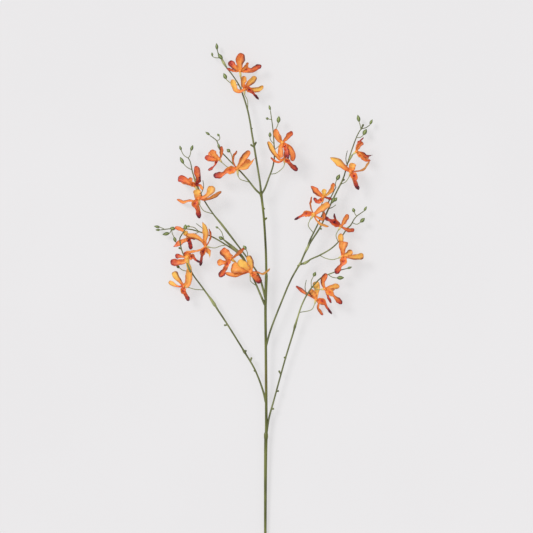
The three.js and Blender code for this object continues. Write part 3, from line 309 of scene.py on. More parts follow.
# %% Sprays H and I, on the right
SPRAYS["spray_h"] = dict(
    route=[
        (266.1, 346, 18.4, 2), (270.3, 331, 19.6, 1.7), (282.3, 300, 22.2, 1.6), (290.8, 280, 24.2, 1.6),
        (298, 267, 25.8, 1.7), (299.6, 264.4, 26.2, 2.3), (301.2, 261.4, 26.5, 1.6),
        (304.6, 253.6, 27.4, 1.7), (307.2, 248.4, 28, 2.5), (309.8, 243.4, 28.4, 1.7),
        (320.6, 226.4, 29, 1.5), (328.4, 209, 28.8, 1.5), (337.5, 190, 27.4, 1.4), (341.8, 181.6, 26.2, 1.6),
        (344, 176.2, 25.6, 1.3), (347.4, 164, 23.8, 1.2), (353.2, 146, 20.2, 1.1), (358, 134, 18, 1),
        (361.4, 129, 17, 0.9), (366, 127.5, 15.8, 0.8), (370, 124.8, 14.8, 0.8),
    ],
    buds=[
        ((357.8, 114.4, 14), (359.4, 122, 15.4), 6.8, (360.4, 125.5, 16.2), (361, 129.3, 17)),
        ((372.6, 119, 14), (369.9, 124.6, 14.8), 5.2),
        ((366.8, 128.8, 16.6), (363.2, 135, 17.4), 8, (361, 137, 18), (357.2, 137.6, 18.8)),
        ((331.4, 203.9, 29.6), (334.4, 197, 28.6), 7.2), ((337.2, 197.4, 28.8), (333.6, 201.6, 28.4), 6.4),
    ],
    stubs=[
        [(361.2, 129, 16.8), (363.6, 124, 16.6)],
        [(347.2, 165.4, 24), (345.9, 159, 25.2), (347.3, 150.6, 26.6)],
        [(329.2, 208.6, 28.8), (332.6, 207.2, 29), (335.9, 204.8, 28.8)],
        [(319.6, 228.6, 29), (321.9, 229, 29.2)], [(342.2, 181, 26.2), (344.6, 179.2, 26.6)],
        [(299.8, 264.9, 26.1), (297.4, 266, 26.4)],
    ],
    sleeve=[
        (352.6, 154.7, 26.6, 1), (351.2, 156.6, 26, 2.1), (349.6, 159.2, 25.1, 1.9), (348, 162.8, 24.4, 1),
    ],
)

SPRAYS["spray_i"] = dict(
    route=[
        (307.2, 248.8, 27.8, 1.6), (309.6, 241, 26.6, 1.5), (315, 230, 25, 1.4), (321, 217.5, 23.6, 1.3),
        (328, 203, 23, 1.2), (333, 193, 23, 1.1), (336, 187, 23, 0.9),
    ],
    buds=[((339.9, 174.2, 23.6), (336.5, 180.4, 23.3), 7.4, (335.4, 184, 23.2), (336, 187.6, 23))],
)

print("sprays so far:", list(SPRAYS))

# %% Sprays J and K, on the right
SPRAYS["spray_j"] = dict(
    route=[
        (299.8, 264.6, 26.1, 1.8), (306.8, 262, 25, 1.9), (310.5, 259.4, 24.4, 1.4),
        (319.4, 255.4, 23.2, 1.4), (331.6, 248.2, 21.8, 1.3), (339.4, 240.6, 21, 1.2),
        (344.4, 232.6, 20.4, 1.1), (347.6, 228, 20, 1.7), (350.4, 225.6, 19.6, 1.2), (354.5, 218.8, 19, 1),
        (357, 216, 18.6, 0.9), (364, 211, 17.2, 0.8),
    ],
    buds=[
        ((366.9, 206.2, 16.6), (364, 211.2, 17.2), 4.8),
        ((353, 207.8, 18.6), (354.4, 212.4, 18.7), 6.2, (355.4, 214.4, 18.7), (357, 216.4, 18.6)),
        ((365, 217.9, 18), (360.2, 222.4, 18.4), 7.2, (357, 224.2, 18.9), (352.4, 222.8, 19.3)),
    ],
    sleeve=[
        (303, 264.2, 25.6, 1.4), (304.8, 263.1, 25.3, 2.7), (307.2, 261.8, 25, 2.4),
        (310.2, 259.8, 24.4, 1.2),
    ],
)

SPRAYS["spray_k"] = dict(
    route=[
        (266.5, 434.5, 12.8, 2), (268.8, 419, 13.6, 1.8), (274, 400, 14.4, 1.5), (285, 360, 16, 1.5),
        (293.8, 331, 17.6, 1.6), (294.9, 326.6, 18, 2.5, 0.1), (296.2, 322.4, 18.4, 1.9, 0.3),
        (298, 316.4, 19.4, 1.5, 0.6), (301.6, 305.6, 21.2, 1.4, 0.4), (307, 294.6, 23.2, 1.4),
        (313.7, 285.2, 25.4, 1.3), (321.4, 277.6, 27, 1.2), (328.4, 274.4, 27.8, 1.2), (341, 270, 28.2, 0.9),
        (347, 268.5, 28.2, 0.8),
    ],
    buds=[
        ((352.2, 266.8, 28.2), (346.8, 268.6, 28.2), 4.4),
        ((344.3, 277.7, 26), (336.6, 277.9, 26.6), 7.4, (332.4, 277.2, 27.2), (328, 274.5, 27.8)),
        ((315.8, 271.8, 24.4), (313.4, 276.6, 24.4), 6.8, (311.3, 281, 24.4), (311.4, 288.4, 24.8)),
    ],
    stubs=[
        [(306.4, 295.6, 23), (305.1, 287, 24), (306.3, 280, 24.6)],
        [(271.4, 409.4, 14), (274.2, 408.8, 14.2)], [(276.6, 391.6, 14.8), (279, 391, 15)],
        [(281, 375, 15.4), (278.8, 370.6, 15.8)], [(286, 359, 16), (284, 357, 16.2)],
    ],
)

print("sprays so far:", list(SPRAYS))

# %% [markdown]
# Every bloom has a heart, where its blades meet, and a joint, where its neck plugs onto a stalk. The
# stalk goes on from there to the spray.
#
# A blade is its path, its width, its roll in degrees, and its tones: at the base, at the tip, and how much
# painted shade darkens one edge. Tone 0 is yellow, 0.5 is orange and 1 is maroon. Painted shade above 0 is on
# the right edge, as seen from the heart, and below 0 on the left. A tepal can name a form at its end, or
# leave
# values out there: it is then oval, plain orange and level. A lip ends with how broad its end lobe is.
#
# Some blooms say more:
#
# - core: how large the ball in the heart is, and how much yellower than the tepals
# - neck: how thick the neck is, and how green its end
# - cuff: the path of a thick sleeve round the end of the neck
# - carrier: the spray that the stalk grows from, where that isn't the one with the bloom's letter
# - lobes_at: how far along the lip its side lobes are
# - waist: the least breadth of the lip between its lobes

# %% Blooms of spray A
BLOOMS = {}

BLOOMS["bloom_a1"] = dict(
    heart=(240, 71, 24), joint=(240.9, 78.6, 20.6), stalk=[(241.3, 84, 18.4), (241.4, 91, 17.2)],
    tepals=[
        ([(239.8, 64, 27), (240.6, 58, 29), (242.6, 53.6, 29)], 17, 5, (0.4, 0.62, 1)),
        ([(235, 67.5, 26), (231.4, 63.8, 25), (229.3, 61.2, 24)], 12.5, 10, (0.45, 0.85, -0.8)),
        ([(236, 71.6, 24), (231, 70.2, 23), (226.6, 68.6, 22)], 8, 50, (0.5, 0.8, 0.6)),
        ([(243, 69.5, 27), (246, 66, 29), (248, 62.6, 29)], 8, 40, (0.35, 0.5, -0.5)),
        ([(246, 71.3, 17), (252, 70, 7), (257.5, 68.3, -0.3)], 8, 0, (0.6, 0.7, 0)),
    ],
    lip=([(245.5, 69.8, 26), (250, 69.6, 27), (255, 68, 26), (261.4, 65.4, 24)], 11, 0, (0.56, 0.9, -1), 1.1),
)

BLOOMS["bloom_a2"] = dict(
    heart=(244.3, 89.6, 28), joint=(244.6, 94.6, 24.2), stalk=[(247.4, 100.6, 21.4), (247.8, 110.6, 19.6)],
    tepals=[
        ([(240, 91.6, 28), (236.2, 90.4, 28), (234, 86, 27), (232.2, 79.4, 25)], 11, 15, (0.62, 0.08, 0)),
        ([(243, 84, 30), (244.4, 76.2, 30)], 11.5, 25, (0.58, 0.3, -0.5)),
        ([(249, 83.6, 31), (256.2, 77, 31)], 12.5, 20, (0.68, 0.15, 0.9)),
        ([(250, 89, 27), (256, 89.4, 25), (260, 88.4, 24), (263.2, 85.8, 24)], 9, 20, (0.4, 0.08, -0.5)),
        ([(250, 89.6, 18), (255.5, 90, 7), (260, 90, -0.3)], 8),
    ],
    lip=([(247.8, 88.6, 29), (250.6, 91, 28), (254.6, 94.8, 23), (258.6, 99.4, 18)],
         10, 15, (0.68, 1.2, 0.2), 0.62),
)

print("blooms so far:", len(BLOOMS))

# %% Blooms of sprays B and C
BLOOMS["bloom_b1"] = dict(
    heart=(219.2, 159.4, 35), joint=(222.2, 162.8, 32.4), stalk=[(228, 167.4, 31.2), (240, 171.2, 29.8)],
    tepals=[
        ([(213, 159.2, 35), (204.8, 157.2, 32)], 10, 15, (0.5, 0.78, 0.3)),
        ([(215, 155.6, 38), (210.8, 150.4, 38)], 12, 10, (0.45, 0.52, 0.2)),
        ([(221, 156, 38), (221.2, 151, 39), (221.6, 146.4, 38)], 9, 40, (0.6, 0.66, -0.8)),
        ([(215, 157, 30), (211, 154.2, 24), (208.4, 152.6, 20)], 9),
        ([(214, 159.8, 28), (209.6, 159, 20), (206.4, 158, 14)], 9),
    ],
    lip=([(217, 161.6, 35), (215, 165, 33), (212, 168, 30), (208, 170, 27)], 5.5, 30, (0.72, 0.95, 0.3), 1.4),
)

BLOOMS["bloom_b2"] = dict(
    heart=(237.2, 168.8, 40), joint=(238.1, 176.2, 35.6),
    stalk=[(240.4, 179.4, 33.8), (245, 181, 31.6), (250.6, 182.6, 29.2)],
    tepals=[
        ([(235, 166.4, 41), (233, 161.6, 42), (233.2, 156.6, 42), (237, 151, 40)], 8, 60, (0.6, 0.55, 0)),
        ([(241.4, 162, 43), (246, 155.4, 44), (249.4, 151, 43)], 12, 10, (0.42, 0.5, -0.8)),
        ([(244, 167.4, 41), (249.4, 164, 39), (255.4, 158, 37)], 12.5, 10, (0.32, 0.45, 0), "drop"),
        ([(242, 165.6, 34), (246.6, 162.4, 27), (250, 160, 22)], 9),
        ([(239.8, 163.6, 34), (243, 157.6, 30), (245, 154, 27)], 9),
    ],
    lip=([(232.4, 169.8, 40), (228, 170.8, 40), (221, 174.8, 36), (213.4, 175.8, 31)],
         15, 0, (0.5, 0.95, 0.8), 1),
)

BLOOMS["bloom_c1"] = dict(
    heart=(284, 159, 36), joint=(284.6, 163.8, 32.6),
    stalk=[(283, 167.6, 30.4), (276, 173.2, 28.6), (270.6, 174.2, 27.7)], lobes_at=0.17,
    tepals=[
        ([(280.6, 160, 37), (276.4, 156, 38), (272, 149.6, 38), (268, 141.6, 36)],
         9.5, 15, (0.55, 0.1, -0.9)),
        ([(281, 162, 36), (277, 162.4, 36), (273.4, 160.6, 35), (270.8, 157.6, 34)], 7, 50, (0.6, 0.72, 0)),
        ([(285.6, 153, 34), (286.8, 147.4, 34)], 8, 20, (0.62, 0.7, 0)),
        ([(288, 162, 32), (292, 166, 25), (294.6, 168.6, 19)], 8, 0, (0.6, 0.6, 0)),
        ([(286.6, 154.4, 29), (289, 149, 23), (290, 145.4, 19)], 9, 0, (0.6, 0.6, 0)),
    ],
    lip=([(286.6, 160.8, 38), (289.6, 162.8, 37), (293.2, 166.6, 34), (297.4, 170.8, 30)],
         9, 0, (0.66, 1.02, -0.9), 1.3),
)

BLOOMS["bloom_c2"] = dict(
    heart=(282.4, 142.8, 33), joint=(278.6, 146.4, 29.6), stalk=[(274.3, 150, 25.7)], core=(1.2, 0.36),
    waist=0.75,
    tepals=[
        ([(278.6, 140.4, 36), (276.4, 135, 38), (275.6, 129, 37)], 11, 10),
        ([(285.4, 139.6, 36), (288.6, 135.6, 37), (292.4, 131.8, 36)], 10, 20, (0.6, 0.72, 0)),
        ([(286.4, 145.4, 38), (290.6, 149, 40), (292.6, 155, 40), (292.6, 161.4, 37)],
         11, 10, (0.5, 0.6, -0.5)),
        ([(280.6, 147.6, 38), (280.6, 152.6, 41), (281.6, 158, 43)], 11, 5, (0.48, 0.5, -0.4)),
        ([(280.2, 138.4, 27), (278, 133.6, 21)], 7),
    ],
    lip=([(284.6, 145.6, 38), (286, 150, 42), (287, 154, 43.6), (288.2, 159, 44)],
         10.5, 5, (0.66, 1, 0), 0.9),
)

print("blooms so far:", len(BLOOMS))

# %% Blooms of sprays D and E
BLOOMS["bloom_d1"] = dict(
    heart=(194.6, 185.8, 33), joint=(198.2, 190.6, 29.8), stalk=[(202.4, 196.8, 25.9)],
    tepals=[
        ([(188, 181.6, 33), (182.6, 179.2, 31), (178, 178.6, 28)], 13.5, 5, (0.5, 0.78, 0), "fan"),
        ([(198.2, 181.6, 36), (197.8, 175, 36), (196, 166, 34)], 12, 5, (0.86, 0.72, 0.8)),
        ([(197.8, 183.4, 36), (199.6, 180.4, 38), (199.4, 176.8, 39)], 7, 50, (0.95, 1, 0)),
        ([(198.6, 185.2, 34), (200.9, 186.2, 36), (202.8, 189.8, 37)], 6.5, 30, (1.05, 0.4, 0)),
        ([(188.6, 183.6, 24), (183.6, 181.4, 13), (180.6, 180.2, 5)], 9),
    ],
    lip=([(192.6, 184, 37), (191.4, 182, 39), (190.6, 180, 40), (190, 177.6, 40)], 11, 10, (0.5, 0.62, 0), 1),
)

BLOOMS["bloom_d2"] = dict(
    heart=(199, 199, 35), joint=(199.8, 205, 31.4), stalk=[(203.6, 210.6, 28.4), (213, 214, 26.1)],
    tepals=[
        ([(197.6, 195.4, 38), (196.8, 189.6, 39.5)], 13.5, 5, (0.52, 0.12, 0), "strap"),
        ([(204.2, 197.2, 38), (208.4, 194.2, 39), (210.8, 190.8, 39), (210.8, 186, 37)],
         15.5, 0, (0.62, 0.16, 0.5), "ball"),
        ([(204, 199.6, 36), (210, 198.2, 36), (216, 195, 35), (221.4, 191.4, 33)],
         8.5, 35, (0.62, 0.42, 0.8)),
        ([(194.6, 200.8, 31), (189, 200.8, 22), (183, 202, 9), (176.6, 199, -0.3)], 7, 35, (0.62, 0.45, 0.7)),
        ([(197.6, 205, 27), (198.2, 210, 18), (199.2, 215, 11)], 8),
    ],
    lip=([(196.4, 201.8, 36), (195, 204.6, 36.5), (197.2, 210, 35), (199.8, 218.4, 31)],
         11, 0, (0.58, 1.06, -0.6), 1),
)

BLOOMS["bloom_e1"] = dict(
    heart=(188, 236.4, 24), joint=(192.6, 235, 21.2), stalk=[(199, 231.8, 16.1)], core=(1.2, 0.3), waist=0.85,
    tepals=[
        ([(185, 232.4, 26), (180.4, 229.2, 25), (174.8, 227.4, 22)], 7.5, 15, (0.45, 0.6, 0)),
        ([(186.4, 234.2, 28), (184.4, 231.6, 30)], 10, 10, (0.2, 0.05, 0)),
        ([(186.2, 239.6, 25), (182.2, 241.6, 22), (173.4, 246.8, 18)], 11, 20, (0.5, 0.7, 0), "leaf"),
        ([(191.6, 237.6, 23), (196, 238, 20)], 7, 10, (0.8, 0.9, 0)),
        ([(189.4, 240.4, 16), (190.2, 244.6, 9), (190.6, 247.6, 4)], 7, 0, (0.6, 0.6, 0)),
    ],
    lip=([(188.6, 238.6, 26), (189.4, 241, 26), (190.2, 244.6, 24), (190.8, 249.6, 20)],
         8.5, 5, (0.8, 0.98, 0), 1.1),
)

BLOOMS["bloom_e2"] = dict(
    heart=(205.6, 246.4, 27.4), joint=(210, 247.4, 24.6),
    stalk=[(215, 247.9, 22), (220.4, 246, 19.6), (226.4, 245, 18.1)], lobes_at=0.2,
    tepals=[
        ([(204.8, 240, 30), (205.6, 232, 31.4), (202.6, 222, 30)], 12, 15, (0.5, 0.12, 0.5), "leaf"),
        ([(202, 241, 31), (196, 236.8, 33), (186, 235, 33.5)], 9.5, 10, (0.5, 0.34, -0.8)),
        ([(208.4, 242.4, 30), (210.4, 236, 31), (209, 228.6, 29)], 7, 60, (0.65, 0.72, 0)),
        ([(207.8, 250, 26), (209.4, 253.4, 24), (209.8, 258, 21)], 9.5, 10, (0.6, 0.2, 0), "drop"),
        ([(201, 249.6, 33), (195, 251.6, 38), (185.4, 252.2, 42)], 7, 50, (0.52, 0.48, 0)),
    ],
    lip=([(204.4, 248.8, 28), (203, 251.6, 26), (201.2, 259.4, 13), (200.2, 266, -0.3)],
         11, 0, (0.64, 1.04, 0), 0.66),
)

print("blooms so far:", len(BLOOMS))

# %% Blooms of sprays F and G
BLOOMS["bloom_f1"] = dict(
    heart=(184, 286.2, 25), joint=(188.8, 287.6, 22), stalk=[(195, 289.3, 19.6), (204, 290, 16.9)],
    tepals=[
        ([(180.2, 281.6, 28), (177, 277.4, 29.4), (173.4, 271.8, 28)], 12, 0, (0.7, 0, 0.9), "fan"),
        ([(179.4, 286.6, 21), (174.2, 285, 10), (168.6, 281.6, -0.3)], 9, 5, (0.85, 0.12, -0.5), "ball"),
        ([(188, 283.6, 26), (188.9, 277, 27), (189, 268.6, 26.6)], 12, 5, (0.42, 0.26, 0.3), "strap"),
        ([(186.4, 282, 20), (187.2, 277, 13), (187.2, 273, 8)], 8),
        ([(184.2, 290.6, 17), (185.6, 295, 10), (186.8, 298.6, 5)], 7),
    ],
    lip=([(183.4, 288.6, 27), (183.4, 291.4, 28), (186, 295, 26), (188.8, 301, 22)],
         10.5, 0, (0.62, 1, 0.2), 0.9),
)

BLOOMS["bloom_f2"] = dict(
    heart=(187.2, 257.2, 29), joint=(188, 266.8, 24.6), stalk=[(189.8, 271.4, 21.4), (193.4, 276, 17.4)],
    neck=(1.45, 0.1), core=(1.6, 0.3), cuff=[(187.1, 262.2, 26.2), (188.9, 267, 25.8), (191.1, 273, 23.2)],
    tepals=[
        ([(182.4, 256.6, 30), (175.2, 255.7, 28)], 9.5, 5, (0.46, 0.84, -0.3), "ball"),
        ([(184, 262.4, 29), (178, 262.6, 27), (170.4, 262, 24)], 14.5, 5, (0.42, 0.78, -0.4), "ball"),
        ([(187.4, 254.4, 32), (186.8, 251.4, 34)], 13.5, 5, (0.42, 0.74, 0), "strap"),
        ([(190.4, 257.6, 21), (192.4, 256, 14), (193.4, 254, 8)], 7),
        ([(184, 260, 24), (179, 261, 15), (175, 262, 7)], 7, 30),
    ],
    lip=([(190, 256.6, 31), (193, 257, 31.4), (196, 260, 30), (200, 262.4, 28)],
         12, 0, (0.58, 1.15, 0), 0.42),
)

BLOOMS["bloom_g1"] = dict(
    heart=(231, 259, 36), joint=(236, 262.4, 31.6), stalk=[(241.4, 265.4, 27.4), (250.6, 272.4, 20.4)],
    carrier="spray_e", neck=(1.1, 0.1),
    tepals=[
        ([(228, 256.2, 38), (221.8, 249.4, 36)], 16, 5, (0.46, 0.58, -0.9), "strap"),
        ([(234.4, 256.6, 39), (239, 252.6, 39.6), (244, 248.2, 37.6)], 9, 40, (0.6, 0.6, 0)),
        ([(226.4, 261.8, 36), (217.2, 262.7, 34)], 12.5, 0, (0.98, 0.42, 0), "ball"),
        ([(228.2, 256, 29), (225.4, 253, 22), (224, 251.2, 17)], 9),
        ([(228, 263, 28), (225.4, 268, 19), (223, 272.4, 12)], 8),
    ],
    lip=([(228.6, 261.8, 39), (226.6, 265.6, 38.6), (223.8, 271, 35), (219.4, 277, 31)],
         9.5, 0, (0.6, 0.92, 1), 1.5),
)

BLOOMS["bloom_g2"] = dict(
    heart=(251, 271.6, 38), joint=(250.1, 277, 34), stalk=[(250.6, 281, 30), (256.6, 286, 21.3)],
    carrier="spray_e", core=(1.4, 0.12), waist=0.9,
    tepals=[
        ([(245, 269.8, 40), (239, 268.8, 40.6), (231.4, 267.2, 38)], 20, 5, (0.58, 0.34, -0.4), "fan"),
        ([(246.6, 267.2, 43), (242.4, 263.8, 44.4), (238, 261, 43.6)], 14.5, 5, (0.42, 0.02, 0)),
        ([(251.2, 265.8, 42), (250, 260.6, 43.6), (248, 255.8, 43)], 12.5, 10, (0.4, 0.15, 0.9)),
        ([(245, 272.6, 38), (236, 275.2, 36.6), (225.2, 273.4, 34)], 9.5, 30, (0.66, 0.42, -0.6)),
        ([(257, 271.8, 39), (263, 273.6, 37.6), (270, 268.6, 34)], 6, 50, (0.72, 0.2, 0)),
    ],
    lip=([(252.4, 273.6, 40), (254.6, 276, 40), (257.4, 278.6, 38), (260.4, 283.2, 35)],
         12, 0, (0.5, 1.08, -1), 1.2),
)

print("blooms so far:", len(BLOOMS))

# %% Blooms of sprays H and I
BLOOMS["bloom_h1"] = dict(
    heart=(356.4, 151.4, 30), joint=(352.6, 154.6, 26.8), stalk=[(349.6, 158.6, 25.2), (347.2, 165.4, 24)],
    waist=0.8,
    tepals=[
        ([(357.4, 148.8, 32), (359.4, 145.2, 33.4), (360.9, 141.2, 33)], 12, 5, (0.5, 0.66, 0.4), "ball"),
        ([(361, 153.6, 29), (366, 156, 26), (372.8, 155, 23)], 10.5, 10, (0.5, 0.98, -0.9), "drop"),
        ([(357.2, 149, 26), (359, 145.4, 21)], 8, 0, (0.6, 0.6, 0)),
        ([(361, 155, 21), (365.4, 156.8, 12), (369, 157, 5)], 8),
        ([(355.8, 148.8, 34), (357.2, 144.6, 36.6), (360, 141.2, 36.6), (363.6, 137.6, 35)],
         3, 10, (0.5, 0.9, 0)),
    ],
    lip=([(358.8, 154.4, 31), (361.4, 156.8, 30), (365, 160, 27), (370.6, 160.6, 23)],
         8, 15, (0.42, 0.72, 0), 0.8),
)

BLOOMS["bloom_h2"] = dict(
    heart=(350.6, 171.4, 33), joint=(349.2, 176.6, 29.8), stalk=[(345.6, 181.8, 27.8), (340.6, 184.4, 26.6)],
    core=(1.3, 0.12),
    tepals=[
        ([(344.6, 167.8, 36), (338.6, 162.6, 37), (330, 157.6, 34.4)], 14, 5, (0.66, 0.05, 0.6), "leaf"),
        ([(351.8, 167.6, 36), (352.8, 163.2, 36)], 12.5, 5, (0.55, 0.25, 0), "strap"),
        ([(356, 171.2, 34), (363, 169.4, 32), (369.2, 161.4, 29)], 7, 55, (0.65, 0.25, 0)),
        ([(353, 177, 22), (355.6, 183, 10), (358, 188.4, -0.3)], 8),
        ([(351.8, 168.4, 26), (352.8, 165, 21)], 8),
    ],
    lip=([(352.4, 174.4, 35), (354.8, 177.6, 35), (355, 182.6, 33), (358.8, 189.8, 27)],
         12.5, 0, (0.6, 1.12, 0.5), 0.72),
)

BLOOMS["bloom_i1"] = dict(
    heart=(323.2, 197.2, 31), joint=(322.4, 202.2, 27.6), stalk=[(321, 207, 25.4), (323, 213.6, 23.4)],
    waist=0.95,
    tepals=[
        ([(318.4, 193.4, 33), (310.8, 186, 31)], 12, 10, (0.62, 0.66, -1), "leaf"),
        ([(323.8, 193.6, 34), (324, 189, 34.4)], 9, 10, (0.15, 0.08, 0)),
        ([(326.6, 194.8, 33), (331, 190.4, 32), (333.6, 183, 30)], 9, 25, (0.25, 0.52, 0)),
        ([(326.6, 197.6, 32), (331.6, 199, 31.4)], 7, 50, (0.88, 0.9, 0)),
        ([(318.6, 194.6, 24), (314.6, 191, 16)], 8),
    ],
    lip=([(321.8, 199.4, 33), (319.6, 201.2, 33), (317.4, 201.6, 32), (313.8, 197.8, 31)],
         8.5, 10, (0.62, 0.92, 0.6), 0.9),
)

BLOOMS["bloom_i2"] = dict(
    heart=(313.6, 214.6, 36), joint=(309.8, 220.2, 32), stalk=[(308.2, 225.4, 28.8), (313.6, 233.2, 25.3)],
    core=(1.4, 0.5), lobes_at=0.33,
    tepals=[
        ([(311.4, 210, 38), (310, 204, 38.4), (311.6, 196.8, 36.6)], 7, 60, (0.62, 0.56, 0)),
        ([(317.6, 211.6, 40), (322.6, 208, 41.4), (329.2, 203.4, 39.6)], 13, 0, (0.55, 0.3, 0.4)),
        ([(318, 217.4, 39), (322.6, 219, 41.4), (324, 212, 43)], 8, 40, (0.55, 0.62, 0)),
        ([(316.4, 220, 35), (320.6, 223.8, 35), (328.6, 226.6, 34)], 7, 50, (0.5, 0.3, 0)),
        ([(317, 212.4, 30), (320, 210.4, 26)], 7),
    ],
    lip=([(310, 213.8, 37), (306.6, 213.6, 37), (301, 216.2, 33), (294.4, 219.8, 28)],
         11.5, 0, (0.6, 1.15, 0), 0.5),
)

print("blooms so far:", len(BLOOMS))

# %% Blooms of sprays J and K
BLOOMS["bloom_j1"] = dict(
    heart=(341, 226.4, 31), joint=(338, 230.6, 28), stalk=[(336, 235.4, 24.6), (338.2, 242, 21.1)],
    lobes_at=0.38,
    tepals=[
        ([(343.4, 222.2, 33), (348, 214.4, 33)], 9.5, 15, (0.55, 0.55, 0.7)),
        ([(345.6, 229, 30), (349.6, 230.2, 27.6), (354.4, 229.8, 25)], 8.5, 20, (0.68, 0.74, 0.5)),
        ([(337.6, 222.6, 36), (334.6, 218.4, 38), (334, 213.4, 38)], 7, 55, (0.8, 0.98, 0)),
        ([(343.4, 223.2, 24), (346, 219.6, 17)], 8),
        ([(337, 224.8, 23), (332.6, 222, 15), (330, 220.6, 10)], 8),
    ],
    lip=([(337, 224, 34), (333.4, 221.8, 35), (328.6, 219.8, 34.6), (323, 216.4, 34)],
         13, 0, (0.74, 1.1, 0), 0.7),
)

BLOOMS["bloom_j2"] = dict(
    heart=(342.6, 256, 31), joint=(338.2, 258.2, 28.2),
    stalk=[(332.4, 259.6, 26), (326, 258.4, 24.4), (319.4, 255.2, 23.1)],
    tepals=[
        ([(342.6, 250.4, 35), (342.8, 246, 36.4), (343.8, 241.4, 35.4)], 18, 0, (0.66, 0.4, 0.5), "flat"),
        ([(342.2, 250, 28), (341, 243, 27), (340.8, 233.4, 26.4)], 11, 0, (0.3, 0.08, 0.5), "ball"),
        ([(348.4, 256.6, 33), (355.6, 257, 31), (363.6, 255.8, 27)], 12.5, 5, (0.6, 0.15, 0.8), "fan"),
        ([(347, 254.2, 34), (352, 250.6, 34)], 11, 15, (0.35, 0.3, -0.7)),
        ([(348, 257, 22), (354, 257.4, 9), (359, 257.6, -0.3)], 8),
    ],
    lip=([(343.4, 259, 35), (343.2, 262, 36), (339.6, 267, 35), (335.6, 273.8, 32)],
         14, 0, (0.55, 0.92, 0.8), 0.95),
)

BLOOMS["bloom_k1"] = dict(
    heart=(316, 299.4, 17), joint=(314.8, 304, 15.6), stalk=[(311.6, 309.6, 16.8), (300, 312.4, 19.9)],
    tepals=[
        ([(310.6, 296, 13), (304.6, 292.6, 7), (296, 286, -0.3)], 7, 20, (0.56, 0.76, 0.9)),
        ([(316.8, 293, 18), (316.8, 288, 18.6), (316, 281.6, 18)], 13, 0, (0.38, 0.05, 0), "fan"),
        ([(314, 295.4, 18), (310, 290, 18)], 12, 0, (0.55, 0.4, -0.9)),
        ([(318.6, 303.4, 14), (318.2, 308, 9), (320.4, 311.6, 4), (323, 315.4, -0.3)],
         6, 25, (0.62, 0.66, 0.5)),
        ([(319, 301.6, 10), (322.6, 303, 4.6), (325, 304, 1.4)], 8),
    ],
    lip=([(319, 300.4, 19), (323, 301.4, 20), (327.4, 308, 16), (332, 314.2, 12)],
         11.5, 0, (0.6, 1.15, 0), 0.5),
)

BLOOMS["bloom_k2"] = dict(
    heart=(324.6, 288.8, 33), joint=(320.6, 289.6, 30), stalk=[(316.4, 289, 28), (312, 287.2, 25)],
    tepals=[
        ([(323, 284.4, 35.6), (323, 279.4, 37.4), (326.6, 273.6, 37)], 11, 15, (0.52, 0.66, -1)),
        ([(329, 287.6, 34.6), (334, 286.4, 34.6), (339.4, 286.2, 33)], 10.5, 10, (0.5, 0.25, 0.6)),
        ([(326.6, 292.6, 31), (328.4, 297, 28), (331.4, 303, 25)], 7, 45, (0.75, 0.92, 0)),
        ([(328.6, 289, 24), (332.4, 288.8, 15), (335, 288.6, 8)], 8),
        ([(327, 291.6, 26), (329.6, 295, 18)], 7),
    ],
    lip=([(327.6, 290.8, 35), (330.8, 293.2, 36), (335.2, 297.4, 34), (342, 303.8, 29)],
         11.5, 0, (0.42, 0.88, -0.9), 1.05),
)

print("blooms so far:", len(BLOOMS))

# %% [markdown]
# ## Finishes
#
# The real petals run from yellow to maroon without a clear border, and the stalks are a streaky green.
# A painted picture could show that, but nodes stay sharp from close by and need no unwrapping by hand.

# %% Colours of a screen
def colour(red, green, blue):
    """A colour as a screen shows it, turned into the linear numbers that shaders use."""
    shares = [part / 255 for part in (red, green, blue)]
    return tuple(s / 12.92 if s <= 0.04045 else ((s + 0.055) / 1.055) ** 2.4 for s in shares) + (1.0,)


print("a middle grey of a screen is", round(colour(128, 128, 128)[0], 3), "to a shader")

# %% [markdown]
# Adding a node, setting it up and linking it takes several lines each time. A small class does this for
# a material, so that each finish below reads as what is mixed with what.

# %% Helpers for materials
# The mix node has sockets of the same name for each kind of value, so those for colours go by number
MIX_SHARE, MIX_FIRST, MIX_SECOND, MIX_RESULT = 0, 6, 7, 2


